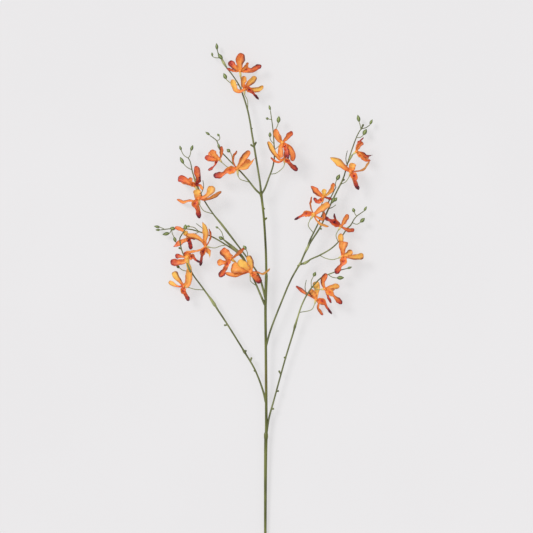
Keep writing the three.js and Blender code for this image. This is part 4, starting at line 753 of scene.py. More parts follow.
class Finish:
    """A material, with short ways to add its nodes."""

    def __init__(self, name, roughness):
        self.material = bpy.data.materials.new(name)
        self.material.use_nodes = True
        self.tree = self.material.node_tree
        self.shader = self.tree.nodes["Principled BSDF"]
        self.set("Roughness", roughness)

    def set(self, name, value):
        self.shader.inputs[name].default_value = value

    def node(self, kind, links=(), **settings):
        """A node with its settings, and with a link or a fixed value for some of its sockets."""
        node = self.tree.nodes.new(kind)
        for name, value in settings.items():
            setattr(node, name, value)
        for socket, source in dict(links).items():
            if hasattr(source, "is_output"):
                self.tree.links.new(source, node.inputs[socket])
            else:
                node.inputs[socket].default_value = source
        return node

    def attribute(self, name):
        return self.node("ShaderNodeAttribute", attribute_name=name).outputs["Fac"]

    def math(self, operation, first, second, third=0.0, clamp=False):
        links = {0: first, 1: second, 2: third}
        return self.node("ShaderNodeMath", links, operation=operation, use_clamp=clamp).outputs[0]

    def sway(self, noise, amount):
        """Noise from 0 to 1, as a shift to both sides of 0."""
        return self.math("MULTIPLY_ADD", noise, amount, -amount / 2)

    def noise(self, scale, stretch=(1, 1, 1), detail=2.0, map_name=None):
        if map_name:
            where = self.node("ShaderNodeUVMap", uv_map=map_name).outputs[0]
        else:
            where = self.node("ShaderNodeTexCoord").outputs["Object"]
        turned = self.node("ShaderNodeMapping", {"Vector": where, "Scale": stretch}).outputs[0]
        links = {"Vector": turned, "Scale": scale, "Detail": detail}
        return self.node("ShaderNodeTexNoise", links).outputs["Fac"]

    def ramp(self, value, stops):
        node = self.node("ShaderNodeValToRGB", {0: value})
        elements = node.color_ramp.elements
        while len(elements) < len(stops):
            elements.new(0.5)
        for element, (position, shade) in zip(elements, stops):
            element.position = position
            element.color = shade
        return node.outputs[0]

    def mix(self, share, first, second):
        links = {MIX_SHARE: share, MIX_FIRST: first, MIX_SECOND: second}
        return self.node("ShaderNodeMix", links, data_type="RGBA").outputs[MIX_RESULT]

    def bump(self, height, strength, distance):
        links = {"Height": height, "Strength": strength, "Distance": distance}
        node = self.node("ShaderNodeBump", links)
        self.tree.links.new(node.outputs[0], self.shader.inputs["Normal"])

    def paint(self, shade):
        self.tree.links.new(shade, self.shader.inputs["Base Color"])
        return self.material


print("colour sockets of a mix node:", MIX_FIRST, MIX_SECOND)

# %% [markdown]
# The tone that each blade carries goes through one colour ramp from yellow over orange to maroon, so
# that a bloom can fade from base to tip. Noise shifts the tone a little, as petals are blotchy, and
# noise that is stretched along the blade draws its veins.

# %% Blade finish: tone, veins, dark rims and painted shade on one edge
YELLOW = colour(252, 196, 88)
LIGHT_ORANGE = colour(252, 170, 80)
ORANGE = colour(244, 138, 62)
RED_ORANGE = colour(224, 98, 48)
CRIMSON = colour(176, 40, 44)
MAROON = colour(82, 18, 34)
# A dark red for the rims of the blades, which is their own colour, and for the painted shade on one side of
# them
DARK_RIM_AND_SHADE = colour(110, 30, 24)
TONES = [(0, YELLOW), (0.28, LIGHT_ORANGE), (0.5, ORANGE), (0.7, RED_ORANGE), (0.86, CRIMSON), (1, MAROON)]
BLOTCH_SCALE, BLOTCH_SHIFT = 260, 0.36
VEIN_STRETCH, VEIN_SHIFT = (22, 2.0, 1), 0.56

blade = Finish("blade_orange", roughness=0.5)
tone = blade.attribute("tone")
blotch = blade.noise(BLOTCH_SCALE, detail=3.0)
vein = blade.noise(1.0, stretch=VEIN_STRETCH, map_name="blade", detail=3.0)
shifted = blade.math("ADD", tone, blade.sway(blotch, BLOTCH_SHIFT))
veined = blade.math("ADD", shifted, blade.sway(vein, VEIN_SHIFT), clamp=True)
# The edge value darkens a blade toward dark red: at its rim, which is its own colour, and along one side,
# which is painted shade
ragged = blade.math("MULTIPLY_ADD", blotch, 0.9, 0.5)
edge = blade.math("MULTIPLY", blade.attribute("edge"), ragged, clamp=True)
BLADE_FINISH = blade.paint(blade.mix(edge, blade.ramp(veined, TONES), DARK_RIM_AND_SHADE))
blade.bump(vein, strength=0.4, distance=0.0005)
blade.set("Specular IOR Level", 0.46)
blade.set("Subsurface Weight", 0.06)
blade.set("Subsurface Radius", (0.003, 0.0012, 0.0006))
print("finish:", BLADE_FINISH.name)

# %% [markdown]
# A neck is pale green at the stalk and golden at the heart, and the warts of the crest are yellow with
# red spots. Both are too small for veins, so plain noise is enough.

# %% Neck and crest finishes
GOLD = colour(238, 186, 84)
CREAM = colour(228, 212, 142)
PALE_GREEN = colour(166, 168, 100)
CREST_YELLOW = colour(250, 186, 70)
CREST_RED = colour(200, 74, 36)

neck = Finish("neck_pale", roughness=0.5)
neck_noise = neck.noise(300)
neck_tone = neck.math("ADD", neck.attribute("tone"), neck.sway(neck_noise, 0.3))
NECK_FINISH = neck.paint(neck.ramp(neck_tone, [(0.05, GOLD), (0.4, CREAM), (1, PALE_GREEN)]))
neck.bump(neck_noise, strength=0.2, distance=0.0003)

crest = Finish("crest_yellow", roughness=0.45)
crest_noise = crest.noise(700)
CREST_FINISH = crest.paint(crest.ramp(crest_noise, [(0.4, CREST_YELLOW), (0.62, CREST_RED)]))
crest.bump(crest_noise, strength=0.3, distance=0.0003)
print("finishes:", NECK_FINISH.name, CREST_FINISH.name)

# %% [markdown]
# The stem, the sprays and the buds have the same skin in three greens, so one function makes all three
# finishes. Noise that is drawn out along the stem gives the streaks.

# %% Green finishes
BROWN = colour(104, 90, 46)


def green_finish(name, dark, middle, light, pale):
    """A satin green with long streaks, paler on sleeves and seams, and browner where the stem is old."""
    green = Finish(name, roughness=0.5)
    streaks = green.noise(90, stretch=(1, 0.25, 1), detail=3.0)
    skin = green.ramp(streaks, [(0.3, colour(*dark)), (0.5, colour(*middle)), (0.72, colour(*light))])
    skin = green.mix(green.attribute("brown"), skin, BROWN)
    green.paint(green.mix(green.attribute("pale"), skin, colour(*pale)))
    green.bump(green.noise(500), strength=0.25, distance=0.0003)
    green.set("Specular IOR Level", 0.4)
    return green.material


STEM_FINISH = green_finish("stem_olive", (64, 68, 28), (96, 102, 46), (128, 134, 66), (138, 144, 78))
SPRAY_FINISH = green_finish("spray_olive", (74, 78, 42), (104, 110, 64), (134, 138, 88), (190, 194, 132))
BUD_FINISH = green_finish("bud_green", (66, 82, 36), (92, 108, 52), (118, 134, 72), (178, 188, 124))
print("green finishes:", STEM_FINISH.name, SPRAY_FINISH.name, BUD_FINISH.name)

# %% [markdown]
# ## The green tubes
#
# The stem, the sprays, the stalks and the stubs are all tubes on a line, thicker at a sleeve. Each
# could be a curve object with a bevel. One Geometry Nodes tree does it for all of them instead: it
# turns edges into curves, reads the radius that each point carries, and sweeps a circle along.

# %% Geometry Nodes: lines into tubes
def wire(tree, *links):
    for source, output, target, entry in links:
        tree.links.new(source.outputs[output], target.inputs[entry])


def new_tree(name, label, kind):
    """A tree with one more input, its start, and a last stretch that makes copies real and paints them."""
    tree = bpy.data.node_groups.new(name, "GeometryNodeTree")
    inputs = {"Geometry": "NodeSocketGeometry", label: kind, "Finish": "NodeSocketMaterial"}
    for socket, socket_kind in inputs.items():
        tree.interface.new_socket(socket, in_out="INPUT", socket_type=socket_kind)
    tree.interface.new_socket("Geometry", in_out="OUTPUT", socket_type="NodeSocketGeometry")
    add = tree.nodes.new
    start, end = add("NodeGroupInput"), add("NodeGroupOutput")
    real, paint = add("GeometryNodeRealizeInstances"), add("GeometryNodeSetMaterial")
    wire(
        tree,
        (real, "Geometry", paint, "Geometry"),
        (start, "Finish", paint, "Material"),
        (paint, "Geometry", end, "Geometry"),
    )
    return tree, start, real


def tube_tree():
    tree, start, real = new_tree("tubes_on_lines", "Sides", "NodeSocketInt")
    add = tree.nodes.new
    curve, circle = add("GeometryNodeMeshToCurve"), add("GeometryNodeCurvePrimitiveCircle")
    radius, sweep = add("GeometryNodeInputNamedAttribute"), add("GeometryNodeCurveToMesh")
    smooth = add("GeometryNodeSetShadeSmooth")
    radius.inputs["Name"].default_value = "radius"
    circle.inputs["Radius"].default_value = 1.0
    sweep.inputs["Fill Caps"].default_value = True
    wire(
        tree,
        (start, "Geometry", curve, "Mesh"),
        (start, "Sides", circle, "Resolution"),
        (curve, "Curve", sweep, "Curve"),
        (circle, "Curve", sweep, "Profile Curve"),
        (radius, "Attribute", sweep, "Scale"),
        (sweep, "Mesh", smooth, "Geometry"),
        (smooth, "Geometry", real, "Geometry"),
    )
    return tree


TUBE_TREE = tube_tree()
print("tube tree inputs:", [item.name for item in TUBE_TREE.interface.items_tree])

# %% [markdown]
# A modifier keeps its inputs under the sockets' identifiers, so they are looked up by name. The
# evaluated result becomes a plain mesh of its own, and the helper object goes away.

# %% From a node tree to a plain mesh
def stand(name, data):
    """A new object in the scene, at the origin."""
    thing = bpy.data.objects.new(name, data)
    bpy.context.scene.collection.objects.link(thing)
    return thing


def new_mesh(name, points, edges=(), faces=()):
    mesh = bpy.data.meshes.new(name)
    mesh.from_pydata(points, edges, faces)
    return mesh


def grown(name, source_mesh, tree, **values):
    """The mesh that a node tree makes of a source mesh."""
    helper = stand(name + "_source", source_mesh)
    modifier = helper.modifiers.new("grow", "NODES")
    modifier.node_group = tree
    for item in tree.interface.items_tree:
        if item.in_out == "INPUT" and item.name in values:
            modifier[item.identifier] = values[item.name]
    bpy.context.view_layer.update()
    evaluated = helper.evaluated_get(bpy.context.evaluated_depsgraph_get())
    mesh = bpy.data.meshes.new_from_object(evaluated)
    mesh.name = name
    helper.modifiers.remove(modifier)
    bpy.data.objects.remove(helper)
    return mesh


def shown(name, mesh, slot, *nodes):
    """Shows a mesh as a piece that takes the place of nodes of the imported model."""
    piece = stand(name, mesh)
    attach(piece, "root")
    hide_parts(*nodes)
    print(name, "faces:", len(mesh.polygons))


def float_attribute(mesh, name, values):
    mesh.attributes.new(name, "FLOAT", "POINT").data.foreach_set("value", np.array(values, "f"))


print("pieces will ride on the body: root")

# %% [markdown]
# What goes into the tree is a mesh of edges alone, one chain for each stalk or stub. Every point of a
# chain carries its radius, and how pale it is for the finish.

# %% Lines that carry their radius
LINE_STEPS = 12
STALK_RADIUS = 0.75
SEAT_GAP = 0.3
PALE_PER_SWELL, MOST_PALE = 1.6, 0.9
TWIG_SHARES, TWIG_RADII = [0, 1], [0.85, 0.6]
KNOB_SHARES, KNOB_RADII = [0, 0.45, 0.7, 0.88, 1], [1.5, 1.4, 1.9, 1.8, 0.9]


def line_mesh(name, lines):
    """One chain of edges for each line: its places, then shares of its length with radius and paleness."""
    points, edges, radii, pales = [], [], [], []
    for places, shares, widths, paleness in lines:
        line = smooth_line(places, LINE_STEPS)
        reached = travelled(line)
        start = sum(len(chain) for chain in points)
        edges += [(start + i, start + i + 1) for i in range(len(line) - 1)]
        points.append(line)
        radii.append(np.interp(reached, shares, widths) / 1000)
        pales.append(np.interp(reached, shares, paleness))
    mesh = new_mesh(name, np.vstack(points).tolist(), edges)
    float_attribute(mesh, "radius", np.concatenate(radii))
    float_attribute(mesh, "pale", np.concatenate(pales))
    return mesh


def route_line(route):
    """A route, paler where a sleeve makes it swell. A fifth value at a station sets how pale it is."""
    places = all_places(route)
    radii = [station[3] for station in route]
    pale = [0.0] * len(route)
    for i in range(1, len(route) - 1):
        swell = radii[i] / ((radii[i - 1] + radii[i + 1]) / 2) - 1
        pale[i] = route[i][4] if len(route[i]) == 5 else min(MOST_PALE, max(0.0, PALE_PER_SWELL * swell))
    return places, travelled(np.array(places)), radii, pale


def stub_line(stations):
    """A short stub ends in a knob, and a long one is a thin bare twig."""
    shares, radii = (KNOB_SHARES, KNOB_RADII) if len(stations) == 2 else (TWIG_SHARES, TWIG_RADII)
    return all_places(stations), shares, radii, [0.0] * len(radii)


print("radii of a knob in mm:", KNOB_RADII)

# %% [markdown]
# Below the middle of the photograph the stem is browner for a short stretch, and a bell-shaped hump
# tells how brown each point of its line is.

# %% Grow the main stem
STEM_SIDES = 16
BROWN_ROW, BROWN_REACH, MOST_BROWN = 378, 16, 0.6


def hump(values, middle, reach):
    """1 at the middle, falling off like a bell to both sides of it."""
    return np.exp(-(((values - middle) / reach) ** 2))


stem_line = line_mesh("main_stem_line", [route_line(MAIN_STEM)] + [stub_line(s) for s in MAIN_STEM_STUBS])
stem_rows = np.array([vertex.co.y for vertex in stem_line.vertices])
brown_middle = place((0, BROWN_ROW, 0))[1]
brown = MOST_BROWN * hump(stem_rows, brown_middle, BROWN_REACH * MM_PER_PIXEL / 1000)
float_attribute(stem_line, "brown", brown)
stem_mesh = grown("main_stem_tube", stem_line, TUBE_TREE, Sides=STEM_SIDES, Finish=STEM_FINISH)
shown("main_stem_tube", stem_mesh, "stem_green", "main_stem")

# %% [markdown]
# ## Sprays and stalks
#
# A spray's tubes are its route, its stubs, the stalks of its buds and the stalks of its blooms. A
# bloom's stalk starts a hair's breadth below the neck that plugs onto it.

# %% Grow the sprays
TUBE_SIDES = 12
BUD_ROOT = 1.0
BLOOM_STALK_PALE, BUD_STALK_PALE, STALK_END_PALE = 0.6, 0.3, 0.1


def carrier_of(bloom_name):
    return BLOOMS[bloom_name].get("carrier", "spray_" + bloom_name[-2])


def stalk_line(places, start_pale):
    return places, [0, 1], [STALK_RADIUS] * 2, [start_pale, STALK_END_PALE]


def bloom_stalk(bloom):
    """A bloom's stalk, from just below its neck down to the spray."""
    joint = place(bloom["joint"])
    start = joint + unit(joint - place(bloom["heart"])) * SEAT_GAP / 1000
    return stalk_line([start] + all_places(bloom["stalk"]), BLOOM_STALK_PALE)


def bud_stalk(tip, base, bends):
    """A bud's stalk, from inside the bud down to the spray."""
    tip, base = place(tip), place(base)
    inside = base + unit(tip - base) * BUD_ROOT / 1000
    return stalk_line([inside, base] + all_places(bends), BUD_STALK_PALE)


def spray_lines(name):
    spray = SPRAYS[name]
    lines = [route_line(spray["route"])]
    lines += [stub_line(stub) for stub in spray.get("stubs", [])]
    lines += [route_line(spray["sleeve"])] if "sleeve" in spray else []
    lines += [bud_stalk(tip, base, bends) for tip, base, width, *bends in spray["buds"] if bends]
    lines += [bloom_stalk(bloom) for key, bloom in BLOOMS.items() if carrier_of(key) == name]
    return lines


for spray_name in SPRAYS:
    wood = line_mesh(spray_name + "_line", spray_lines(spray_name))
    wood = grown(spray_name + "_tubes", wood, TUBE_TREE, Sides=TUBE_SIDES, Finish=SPRAY_FINISH)
    shown(spray_name + "_tubes", wood, "spray_green", spray_name)

# %% [markdown]
# ## Buds
#
# A bud is a closed spindle with three seams, where its outer tepals meet. One is modelled, and a
# second tree copies it to every place where a bud sits, turned and stretched by what the point
# carries. Its Realize Instances node makes the copies real, because an export would drop them.

# %% One bud, 1 m long and 1 m wide, which the copies shrink
BUD_SIDES, BUD_RINGS = 18, 12
SEAMS, SEAM_DEPTH, SEAM_TWIST = 3, 0.08, 0.5
BUD_SLANT, BUD_FULLNESS = 0.86, 0.95
SEAM_PALENESS, TIP_PALENESS = 0.85, 0.3


def bud_mesh():
    """The base, rings from base to tip, and the tip. A slant below 1 makes it thickest low down."""
    heights = (1 - np.cos(np.linspace(0, math.pi, BUD_RINGS + 1))) / 2
    turns = np.linspace(0, 2 * math.pi, BUD_SIDES, endpoint=False)
    points, seam = [(0, 0, 0)], [0.0]
    for height in heights[1:-1]:
        radius = 0.5 * math.sin(math.pi * height**BUD_SLANT) ** BUD_FULLNESS
        for turn in turns:
            rib = max(0.0, math.cos(SEAMS * turn + SEAM_TWIST * height))
            reach = radius * (1 - SEAM_DEPTH * rib**3)
            points.append((reach * math.cos(turn), reach * math.sin(turn), height))
            seam.append(rib**2 * math.sin(math.pi * height) * SEAM_PALENESS)
    points.append((0, 0, 1))
    seam.append(TIP_PALENESS)
    faces = []
    for ring in range(BUD_RINGS - 2):
        for side in range(BUD_SIDES):
            a = 1 + ring * BUD_SIDES + side
            b = 1 + ring * BUD_SIDES + (side + 1) % BUD_SIDES
            faces.append((a, b, b + BUD_SIDES, a + BUD_SIDES))
    last = len(points) - 1
    for side in range(BUD_SIDES):
        following = (side + 1) % BUD_SIDES
        faces.append((0, 1 + following, 1 + side))
        faces.append((last, last - BUD_SIDES + side, last - BUD_SIDES + following))
    mesh = new_mesh("bud", points, faces=faces)
    float_attribute(mesh, "pale", seam)
    mesh.shade_smooth()
    return mesh


bud_object = bpy.data.objects.new("bud_model", bud_mesh())
print("faces of one bud:", len(bud_object.data.polygons))

# %% Geometry Nodes: buds on points
def bud_tree():
    tree, start, real = new_tree("buds_on_points", "Bud", "NodeSocketObject")
    add = tree.nodes.new
    info, copies = add("GeometryNodeObjectInfo"), add("GeometryNodeInstanceOnPoints")
    turn, size = add("GeometryNodeInputNamedAttribute"), add("GeometryNodeInputNamedAttribute")
    for node, name in ((turn, "turn"), (size, "size")):
        node.data_type = "FLOAT_VECTOR"
        node.inputs["Name"].default_value = name
    wire(
        tree,
        (start, "Geometry", copies, "Points"),
        (start, "Bud", info, "Object"),
        (info, "Geometry", copies, "Instance"),
        (turn, "Attribute", copies, "Rotation"),
        (size, "Attribute", copies, "Scale"),
        (copies, "Instances", real, "Geometry"),
    )
    return tree


def bud_points(name, buds):
    """A point at each bud's base, with the turn that puts a seam on top, and the bud's size."""
    mesh = new_mesh(name, [place(base).tolist() for tip, base, *rest in buds])
    turns, sizes = [], []
    for tip, base, width, *bends in buds:
        whole = place(tip) - place(base)
        axis = unit(whole)
        top = unit(UP - axis * axis[2])
        turns += Matrix(np.column_stack([top, np.cross(axis, top), axis]).tolist()).to_euler()
        sizes += [width / 1000, width / 1000, np.linalg.norm(whole)]
    for label, values in (("turn", turns), ("size", sizes)):
        mesh.attributes.new(label, "FLOAT_VECTOR", "POINT").data.foreach_set("vector", values)
    return mesh


BUD_TREE = bud_tree()
for spray_name, spray in SPRAYS.items():
    points = bud_points(spray_name + "_bud_points", spray["buds"])
    buds = grown(spray_name + "_buds", points, BUD_TREE, Bud=bud_object, Finish=BUD_FINISH)
    shown(spray_name + "_buds", buds, "spray_green", spray_name)

# %% [markdown]
# ## Blooms
#
# A tepal is a thin blade: narrow at its claw, widest past its middle and round at its tip, with a
# crisp, wavy edge. It is built as a grid along its line, with a second grid under it and a rim, so
# that it is a closed solid with no modifier. The lip is a longer grid with two side lobes, a narrow
# waist and an end lobe.

# %% A collector for the grids of one bloom
class Sheaf:
    """Gathers the corners, faces and values of all the grids of one bloom."""

    def __init__(self):
        self.points, self.faces, self.finish = [], [], []
        self.values = {"tone": [], "edge": [], "u": [], "v": []}

    def add(self, points, faces, finish, **values):
        start = len(self.points)
        self.points += points.reshape(-1, 3).tolist()
        self.faces += [tuple(start + corner for corner in face) for face in faces]
        self.finish += [finish] * len(faces)
        for name, store in self.values.items():
            store += np.broadcast_to(values.get(name, 0.0), len(self.points) - start).tolist()

    def mesh(self, name, finishes):
        mesh = new_mesh(name, self.points, faces=self.faces)
        for finish in finishes:
            mesh.materials.append(finish)
        mesh.polygons.foreach_set("material_index", self.finish)
        float_attribute(mesh, "tone", self.values["tone"])
        float_attribute(mesh, "edge", self.values["edge"])
        corners = np.array([loop.vertex_index for loop in mesh.loops])
        spread = np.stack([np.array(self.values[axis])[corners] for axis in "uv"], axis=1)
        mesh.uv_layers.new(name="blade").data.foreach_set("uv", spread.ravel())
        mesh.shade_smooth()
        return mesh


print("values at each corner:", list(Sheaf().values))

# %% A blade with two faces and a rim
BLADE, NECK, CREST = range(3)
BLADE_THICKNESS = 0.0006
RIM_THICKNESS = 0.0003
LOWEST = 0.0004
SHORTEST = 1e-12


def sheet_faces(rows, columns):
    """Faces of a grid, the same grid under it turned over, and the rim between them."""
    under = rows * columns
    faces = []
    for row in range(rows - 1):
        for column in range(columns - 1):
            a = row * columns + column
            b = a + columns
            faces.append((a, a + 1, b + 1, b))
            faces.append((under + a, under + b, under + b + 1, under + a + 1))
    loop = list(range(columns))
    loop += [row * columns + columns - 1 for row in range(1, rows)]
    loop += [(rows - 1) * columns + column for column in range(columns - 2, -1, -1)]
    loop += [row * columns for row in range(rows - 2, 0, -1)]
    for a, b in zip(loop, loop[1:] + loop[:1]):
        faces.append((b, a, under + a, under + b))
    return faces


def thick_sheet(middle):
    """The upper and the lower face of a sheet, given the places in the middle of its thickness."""
    middle = np.concatenate([middle[..., :2], np.maximum(middle[..., 2:], LOWEST)], axis=2)
    normal = np.cross(np.gradient(middle, axis=1), np.gradient(middle, axis=0))
    normal /= np.maximum(np.linalg.norm(normal, axis=2), SHORTEST)[..., None]
    aside = np.abs(np.linspace(-1, 1, middle.shape[1]))
    thickness = BLADE_THICKNESS + (RIM_THICKNESS - BLADE_THICKNESS) * aside**2
    lift = normal * thickness[None, :, None] / 2
    return np.stack([middle + lift, middle - lift])


print("thickness of a blade and of its rim in mm:", 1000 * BLADE_THICKNESS, 1000 * RIM_THICKNESS)

# %% [markdown]
# A blade's shape and tones depend on the share of its length, from 0 at its base to 1 at its tip, and
# on the side, from -1 at its left edge to 1 at its right one. Two curves of a share or a side do most
# of the work: the hump from above, and a climb.

# %% What tepals and lips have in common
CLAW_START = 1.3
LEAST_BEAT, MOST_BEAT = 0.8, 1.2
RIM_SIDE, RIM_TIP, RIM_STEEPNESS = 0.72, 0.9, 1.5
# Where the painted shade on one edge starts and is full across the blade, and how far along it grows
SHADE_INNER, SHADE_OUTER, SHADE_STRETCH = 0.2, 0.8, 1 / 3


def climb(values, start, end):
    """0 up to the start, 1 from the end on, and straight in between."""
    return np.clip((values - start) / (end - start), 0, 1)


def blade_line(heart, path):
    """The line of a blade, which starts inside the ball in the bloom's heart."""
    places = all_places(path)
    return smooth_line([heart + unit(places[0] - heart) * CLAW_START / 1000] + places)


def ripples(wave, shares, side, count, amount):
    """Waves along a blade, with their own beat on its left and on its right edge."""
    beats = wave.uniform(count * LEAST_BEAT, count * MOST_BEAT, 2)
    starts = wave.uniform(0, 2 * math.pi, 2)
    left, right = np.sin(2 * math.pi * beats[:, None] * shares + starts[:, None])
    return np.where(side < 0, left[:, None], right[:, None]) * amount


def rim_of(shares, side):
    """Grows from 0 to 1 over a blade's last stretch to its edges and its tip."""
    edges, tip = climb(np.abs(side), RIM_SIDE, 1), climb(shares, RIM_TIP, 1)[:, None]
    return np.maximum(edges**RIM_STEEPNESS, tip**RIM_STEEPNESS)


def painted_shade_side(shares, side, dark, start):
    """Painted shade along the left edge, or along the right one where dark is above 0."""
    aside = climb(side * np.sign(dark), SHADE_INNER, SHADE_OUTER) * abs(dark)
    return aside * climb(shares, start, start + SHADE_STRETCH)[:, None]


def add_blade(sheaf, points, roll, shares, side, half, lift, tone, edge):
    """Adds a blade that reaches half its width to both sides of its line, lifted out of its face."""
    across, face = directions(points, roll)
    middle = points[:, None] + across[:, None] * (side * half)[..., None] + face[:, None] * lift[..., None]
    values = {"tone": tone, "edge": edge, "u": (side + 1) / 2, "v": shares[:, None]}
    for name, value in values.items():
        values[name] = np.tile(np.broadcast_to(value, half.shape).ravel(), 2)
    sheaf.add(thick_sheet(middle), sheet_faces(*half.shape), BLADE, **values)


print("a climb from 0 to 1 at a quarter:", climb(0.25, 0, 1))

# %% Tepals
TEPAL_ROWS, TEPAL_COLUMNS = 32, 13
ROW_BUNCHING, LAST_SHARE = 0.9, 0.998
FOLD_RISE, FOLD_SINK, FOLD_CURVE = 0.34, 0.14, 1.3
SWAY, SWAYS = 0.08, 2.0
CRISP, CRISPS, CRISP_CURVE, CRISP_FULL = 0.07, 3.2, 2.2, 0.5
FADE_START, FADE_END = 0.12, 0.74
# How much the claw, a painted highlight down the middle, painted shade in the fold along the midrib and the
# rim change the tone, and how far the first three reach
CLAW_TONE, PAINTED_HIGHLIGHT_TONE, MIDRIB_SHADE_TONE, RIM_TONE = 0.12, 0.2, 0.1, 0.14
CLAW_REACH, PAINTED_HIGHLIGHT_REACH, MIDRIB_SHADE_REACH = 0.12, 0.5, 0.13
TEPAL_SHADE_START, TEPAL_RIM_EDGE = 1 / 15, 0.46
# Where a tepal is widest, how blunt its tip is, how wide its claw is, and how late it grows wide
TEPAL_FORMS = {
    "oval": (0.64, 2.4, 0.42, 1.1), "fan": (0.78, 2.8, 0.36, 1.2), "ball": (0.76, 2.2, 0.38, 2.8),
    "flat": (0.88, 5.0, 0.28, 1.1), "drop": (0.44, 0.8, 0.35, 1.1), "leaf": (0.56, 1.3, 0.4, 1.1),
    "strap": (0.5, 4.0, 0.84, 1.1),
}


def tepal_breadth(shares, width, form):
    """Half the width at each share of the length."""
    widest, bluntness, claw, late = TEPAL_FORMS[form]
    growth = claw + (1 - claw) * climb(shares, 0, widest) ** late
    crown = 1 - climb(shares, widest, 1) ** bluntness
    return growth * crown ** (1 / bluntness) * width / 2000


def tepal(sheaf, heart, wave, path, width, roll=0, tones=(0.5, 0.5, 0), form="oval"):
    """Adds a tepal, and gives back the tone at its base."""
    shares = np.linspace(0, 1, TEPAL_ROWS) ** ROW_BUNCHING
    shares[-1] = LAST_SHARE
    side = np.linspace(-1, 1, TEPAL_COLUMNS)
    sways = ripples(wave, shares, side, SWAYS, SWAY)
    half = tepal_breadth(shares, width, form)[:, None] * (1 + sways)
    crisp = ripples(wave, shares, side, CRISPS, CRISP * width / 1000) * np.abs(side) ** CRISP_CURVE
    fold = (FOLD_RISE * np.abs(side) ** FOLD_CURVE - FOLD_SINK) * half
    lift = fold + crisp * climb(shares, 0, CRISP_FULL)[:, None]
    base, tip, dark = tones
    fade = climb(shares, FADE_START, FADE_END)[:, None]
    # A painted highlight down the middle of the blade, and painted shade in the fold along its midrib
    glow = hump(side, 0, PAINTED_HIGHLIGHT_REACH) * np.sin(math.pi * shares)[:, None]
    midrib_shade = hump(side, 0, MIDRIB_SHADE_REACH)
    rim = rim_of(shares, side)
    tone = base + (tip - base) * fade - CLAW_TONE * np.exp(-shares / CLAW_REACH)[:, None]
    tone = tone - PAINTED_HIGHLIGHT_TONE * glow + MIDRIB_SHADE_TONE * midrib_shade + RIM_TONE * rim
    # The edge value holds the dark rim, which is the tepal's own colour, and painted shade along one side
    edge = np.maximum(painted_shade_side(shares, side, dark, TEPAL_SHADE_START), TEPAL_RIM_EDGE * rim)
    points = at_shares(blade_line(heart, path), shares)
    add_blade(sheaf, points, roll, shares, side, half, lift, tone, edge)
    return base


print("faces of a tepal:", len(sheet_faces(TEPAL_ROWS, TEPAL_COLUMNS)))

# %% [markdown]
# The lip is the showiest blade of such an orchid, with two side lobes, a waist and a broad end lobe, and
# often the reddest. Its outline isn't an oval, so its breadth is listed at thirteen shares of its length.

# %% Breadth and eyes of a lip
LIP_ROWS, LIP_COLUMNS = 40, 17
LIP_SHARES = [0, 0.07, 0.15, 0.25, 0.34, 0.42, 0.5, 0.58, 0.7, 0.82, 0.92, 0.97, 1]
LIP_BREADTHS = [0.3, 0.66, 0.95, 1.0, 0.88, 0.58, 0.38, 0.48, 0.76, 0.84, 0.7, 0.45, 0.12]
WAIST_SHARES, WAIST_BREADTHS = [0.26, 0.32, 0.7, 0.9], [0, 1, 1, 0]
LIP_WAIST = 0.5
LOBES_AT = 0.26
LIP_ROUNDING, LIP_WIDENING = [0.25, 0.5, 0.25], 0.2
EYE_RADIUS, EYE_ASIDE = 0.85, 0.3
EYE_SPREADS, EYE_SHIFTS, EYE_DEPTHS = (0.6, 1.2), (0.8, 1.15), (0.5, 1.0)


def eyes(wave, shares, side, half, length):
    """Two dark spots on the lip between its side lobes."""
    spots = np.zeros(half.shape)
    for turn in (-1, 1):
        x = turn * half.max() * EYE_ASIDE * wave.uniform(*EYE_SPREADS)
        y = length * LOBES_AT * wave.uniform(*EYE_SHIFTS)
        distance = ((side * half - x) ** 2 + (shares[:, None] * length - y) ** 2) / (EYE_RADIUS / 1000) ** 2
        spots = np.maximum(spots, np.exp(-distance) * wave.uniform(*EYE_DEPTHS))
    return spots


def lip_breadth(shares, width, end, waist):
    """Half the width at each share of the length, rounded off between the rows."""
    breadth = np.interp(shares, LIP_SHARES, LIP_BREADTHS)
    breadth = np.maximum(breadth, waist * np.interp(shares, WAIST_SHARES, WAIST_BREADTHS))
    breadth = np.convolve(np.pad(breadth, 1, mode="edge"), LIP_ROUNDING, "valid")
    return breadth * np.interp(shares, [LIP_WAIST, LIP_WAIST + LIP_WIDENING], [1, end]) * width / 2000


print("listed breadths of a lip:", len(LIP_BREADTHS))

# %% Lips
LOPSIDED, LOBE_REACH = 0.2, 0.13
END_START, END_FULL = 0.6, 0.8
LIP_SWAY, LIP_SWAYS = 0.08, 4.5
LIP_CRISP, LIP_CRISPS = 0.05, 4.0
LOBE_CUP, END_SINK, MIDDLE_SINK = 0.55, 0.3, 0.3
LIP_FADE_END, LIP_FADE_CURVE = 0.92, 1.1
SMOOTH_LOBES, PLAIN_END = 0.75, 0.5
# How much the rim, the hollow, the end lobe's middle, the waist and the eyes change the tone of a lip
LIP_RIM_TONE, HOLLOW_TONE, END_TONE, WAIST_TONE, EYE_TONE = 0.16, 0.24, 0.25, 0.12, 0.4
HOLLOW_REACH, LOBE_EDGE_TONE, END_REACH, WAIST_REACH = 0.45, 0.7, 0.4, 0.07
LIP_SHADE_START, LIP_RIM_EDGE = 0.3, 0.55


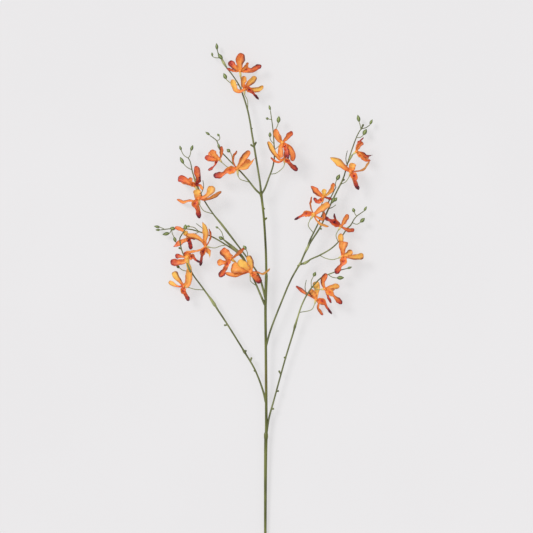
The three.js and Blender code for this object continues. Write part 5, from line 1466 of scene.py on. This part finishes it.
def lip(sheaf, heart, wave, path, width, roll, tones, end, lobes_at, waist):
    line = blade_line(heart, path)
    points = at_shares(line, np.linspace(0, 1, LIP_ROWS))
    shares = np.interp(np.linspace(0, 1, LIP_ROWS), [0, lobes_at, 1], [0, LOBES_AT, 1])
    side = np.linspace(-1, 1, LIP_COLUMNS)
    lobes = hump(shares, LOBES_AT, LOBE_REACH)[:, None]
    beyond = climb(shares, END_START, END_FULL)[:, None]
    lopsided = 1 + wave.uniform(-LOPSIDED, LOPSIDED) * side * lobes
    lopsided = lopsided + ripples(wave, shares, side, LIP_SWAYS, LIP_SWAY)
    half = lip_breadth(shares, width, end, waist)[:, None] * lopsided
    cup = LOBE_CUP * side**2 * lobes - END_SINK * side**2 * beyond - MIDDLE_SINK * (1 - np.abs(side))
    crisp = ripples(wave, shares, side, LIP_CRISPS, LIP_CRISP * width / 1000) * np.abs(side) ** 2
    base, tip, dark = tones
    fade = climb(shares, LIP_WAIST, LIP_FADE_END)[:, None] ** LIP_FADE_CURVE
    rim = rim_of(shares, side) * (1 - SMOOTH_LOBES * lobes)
    hollow = (hump(side, 0, HOLLOW_REACH) - LOBE_EDGE_TONE * side**2) * lobes
    glow = max(end - PLAIN_END, 0) * hump(side, 0, END_REACH) * beyond
    length = np.linalg.norm(np.diff(line, axis=0), axis=1).sum()
    tone = base + (tip - base) * fade + LIP_RIM_TONE * rim + HOLLOW_TONE * hollow - END_TONE * glow
    tone = tone + WAIST_TONE * hump(shares, LIP_WAIST, WAIST_REACH)[:, None]
    tone = tone + EYE_TONE * eyes(wave, shares, side, half, length)
    # The dark rim is the lip's own colour, and the dark side is painted shade
    edge = np.maximum(painted_shade_side(shares, side, dark, LIP_SHADE_START), LIP_RIM_EDGE * rim)
    add_blade(sheaf, points, roll, shares, side, half, cup * half + crisp, tone, edge)


print("faces of a lip:", len(sheet_faces(LIP_ROWS, LIP_COLUMNS)))

# %% [markdown]
# The neck is a pale tapered tube from the heart to the joint. The column is a small hood that bends
# over the lip from the heart, and the crest is a handful of warts at the lip's base.

# %% Tubes and balls for a bloom's middle
BALL_RINGS, BALL_SIDES = 7, 10
BALL_END = 0.15
BALL_AXIS = np.array([0.3, 0.2, 1.0]) / 1.063


def ring_faces(rings, sides):
    faces = []
    for ring in range(rings - 1):
        for side in range(sides):
            a = ring * sides + side
            b = ring * sides + (side + 1) % sides
            faces.append((b, a, a + sides, b + sides))
    faces.append(tuple(range(sides)))
    faces.append(tuple(reversed(range((rings - 1) * sides, rings * sides))))
    return faces


def tube(sheaf, places, radii, finish, sides=TUBE_SIDES, **values):
    """Adds a closed tube through some places, with evenly spread radii in millimetres."""
    line = at_shares(smooth_line(places), np.linspace(0, 1, len(radii)))
    across, out = directions(line)
    turns = np.linspace(0, 2 * math.pi, sides, endpoint=False)
    rings = across[:, None] * np.cos(turns)[:, None] + out[:, None] * np.sin(turns)[:, None]
    points = line[:, None] + rings * np.array(radii)[:, None, None] / 1000
    sheaf.add(points, ring_faces(len(radii), sides), finish, **values)


def ball(sheaf, centre, radius, finish, **values):
    """Adds a small closed ball, made as a tube whose radius swells and closes again."""
    angles = np.linspace(BALL_END, math.pi - BALL_END, BALL_RINGS)
    line = centre + np.outer(-np.cos(angles), BALL_AXIS) * radius / 1000
    tube(sheaf, list(line), np.sin(angles) * radius, finish, sides=BALL_SIDES, **values)


print("faces of a ball:", len(ring_faces(BALL_RINGS, BALL_SIDES)))

# %% Put the blooms together
HEART_RADIUS = 3.1
NECK_RINGS = 10
NECK_SHARES, NECK_RADII = [0, 0.25, 0.5, 0.8, 1], [1.8, 2.4, 2.2, 1.4, 0.95]
CUFF_RADII = [2.2, 3.4, 4.2, 4.4, 4.2, 3.6, 2.7, 1]
# The column's places, as a rise and a reach toward the lip, and its radii
COLUMN, COLUMN_RADII = [(0, 0), (2.4, 0.6), (3.6, 2.6)], [1.5, 1.3, 1.15, 1.1, 1.0, 0.6]
COLUMN_TONES = np.repeat(np.linspace(0.1, 0.5, len(COLUMN_RADII)), TUBE_SIDES)
WARTS, WART_RADIUS, WART_STEP, FIRST_WART = 5, 0.55, 0.9, 2.6


def add_middle(sheaf, bloom, heart, base_tone):
    """Adds what is between the blades: the heart's ball, the neck, the column and the warts."""
    core, glow = bloom.get("core", (1, 0.12))
    ball(sheaf, heart, HEART_RADIUS * core, BLADE, tone=base_tone - glow)
    rings = np.linspace(0, 1, NECK_RINGS)
    swell, green = bloom.get("neck", (1, 1))
    radii = np.interp(rings, NECK_SHARES, NECK_RADII) * swell * (1 + rings * (swell - 1))
    tube(sheaf, [heart, place(bloom["joint"])], radii, NECK, tone=np.repeat(rings * green, TUBE_SIDES))
    if "cuff" in bloom:
        tube(sheaf, all_places(bloom["cuff"]), CUFF_RADII, NECK)
    lip_path = bloom["lip"][0]
    toward_lip = unit(place(lip_path[0]) - heart)
    column = [heart + (UP * rise + toward_lip * reach) / 1000 for rise, reach in COLUMN]
    tube(sheaf, column, COLUMN_RADII, BLADE, tone=COLUMN_TONES)
    for step in range(WARTS):
        reach = toward_lip * (FIRST_WART + WART_STEP * (step % 3)) + UP * WART_STEP
        aside = np.cross(toward_lip, UP) * WART_STEP * (step - 2) / 2
        ball(sheaf, heart + (reach + aside) / 1000, WART_RADIUS, CREST)


def bloom_mesh(name, bloom):
    sheaf = Sheaf()
    wave = np.random.default_rng(sum(ord(letter) for letter in name))
    heart = place(bloom["heart"])
    bases = [tepal(sheaf, heart, wave, *row) for row in bloom["tepals"]]
    lip(sheaf, heart, wave, *bloom["lip"], bloom.get("lobes_at", LOBES_AT), bloom.get("waist", 0))
    add_middle(sheaf, bloom, heart, np.mean(bases))
    return sheaf.mesh(name + "_petals", (BLADE_FINISH, NECK_FINISH, CREST_FINISH))


for bloom_name, bloom in BLOOMS.items():
    shown(bloom_name + "_petals", bloom_mesh(bloom_name, bloom), "petal", bloom_name)

# %% [markdown]
# ## Table, light and camera
#
# The plant lies on a pale light table, which glows a little, so that shadows on it stay faint. One
# large soft light comes from the upper left and shapes the petals, and the rest comes from all
# round. The camera looks straight down from far away through a long lens, so that what stands a few
# centimetres higher hardly shifts.

# %% Table
TABLE_SIDE = 14.0
TABLE_TOP = -0.0002
TABLE_GLOW = 0.58
GLOW_COLOUR = (1, 0.985, 0.995, 1)
half_side = TABLE_SIDE / 2
table_corners = [(x * half_side, y * half_side, TABLE_TOP) for x, y in ((-1, -1), (1, -1), (1, 1), (-1, 1))]
table_mesh = new_mesh("table", table_corners, faces=[(0, 1, 2, 3)])
pale = Finish("table_pale", roughness=0.9)
pale.paint(pale.ramp(pale.noise(3), [(0.4, colour(132, 131, 132)), (0.6, colour(134, 133, 134))]))
pale.set("Emission Color", GLOW_COLOUR)
pale.set("Emission Strength", TABLE_GLOW)
table_mesh.materials.append(pale.material)
table = stand("table", table_mesh)
print("table side in m:", TABLE_SIDE)

# %% Light
KEY_STRENGTH = 1.75
KEY_SOFTNESS = 22
KEY_DIRECTION = (0.55, -0.45, -0.75)
SKY_STRENGTH = 0.61
key = bpy.data.lights.new("key_light", "SUN")
key.energy = KEY_STRENGTH
key.angle = math.radians(KEY_SOFTNESS)
stand("key_light", key).rotation_euler = Vector(KEY_DIRECTION).to_track_quat("-Z", "Y").to_euler()

world = bpy.data.worlds.new("soft_sky")
world.use_nodes = True
sky = world.node_tree.nodes["Background"]
sky.inputs["Color"].default_value = (1, 1, 1, 1)
sky.inputs["Strength"].default_value = SKY_STRENGTH
bpy.context.scene.world = world
bpy.context.scene.view_settings.view_transform = "Standard"
print("key light in degrees across:", KEY_SOFTNESS)

# %% Camera
CAMERA_HEIGHT = 8.0
SENSOR = 36.0
VIEW_SIDE = PHOTO_SIDE * MM_PER_PIXEL / 1000
MID_HEIGHT = 0.025
camera = bpy.data.cameras.new("camera")
camera.sensor_width = SENSOR
camera.lens = SENSOR * (CAMERA_HEIGHT - MID_HEIGHT) / VIEW_SIDE
camera.clip_end = 100
camera_object = stand("camera", camera)
middle = place((PHOTO_SIDE / 2, PHOTO_SIDE / 2, 0))
camera_object.location = (middle[0], middle[1], CAMERA_HEIGHT)
bpy.context.scene.camera = camera_object
print("lens in mm:", round(camera.lens))
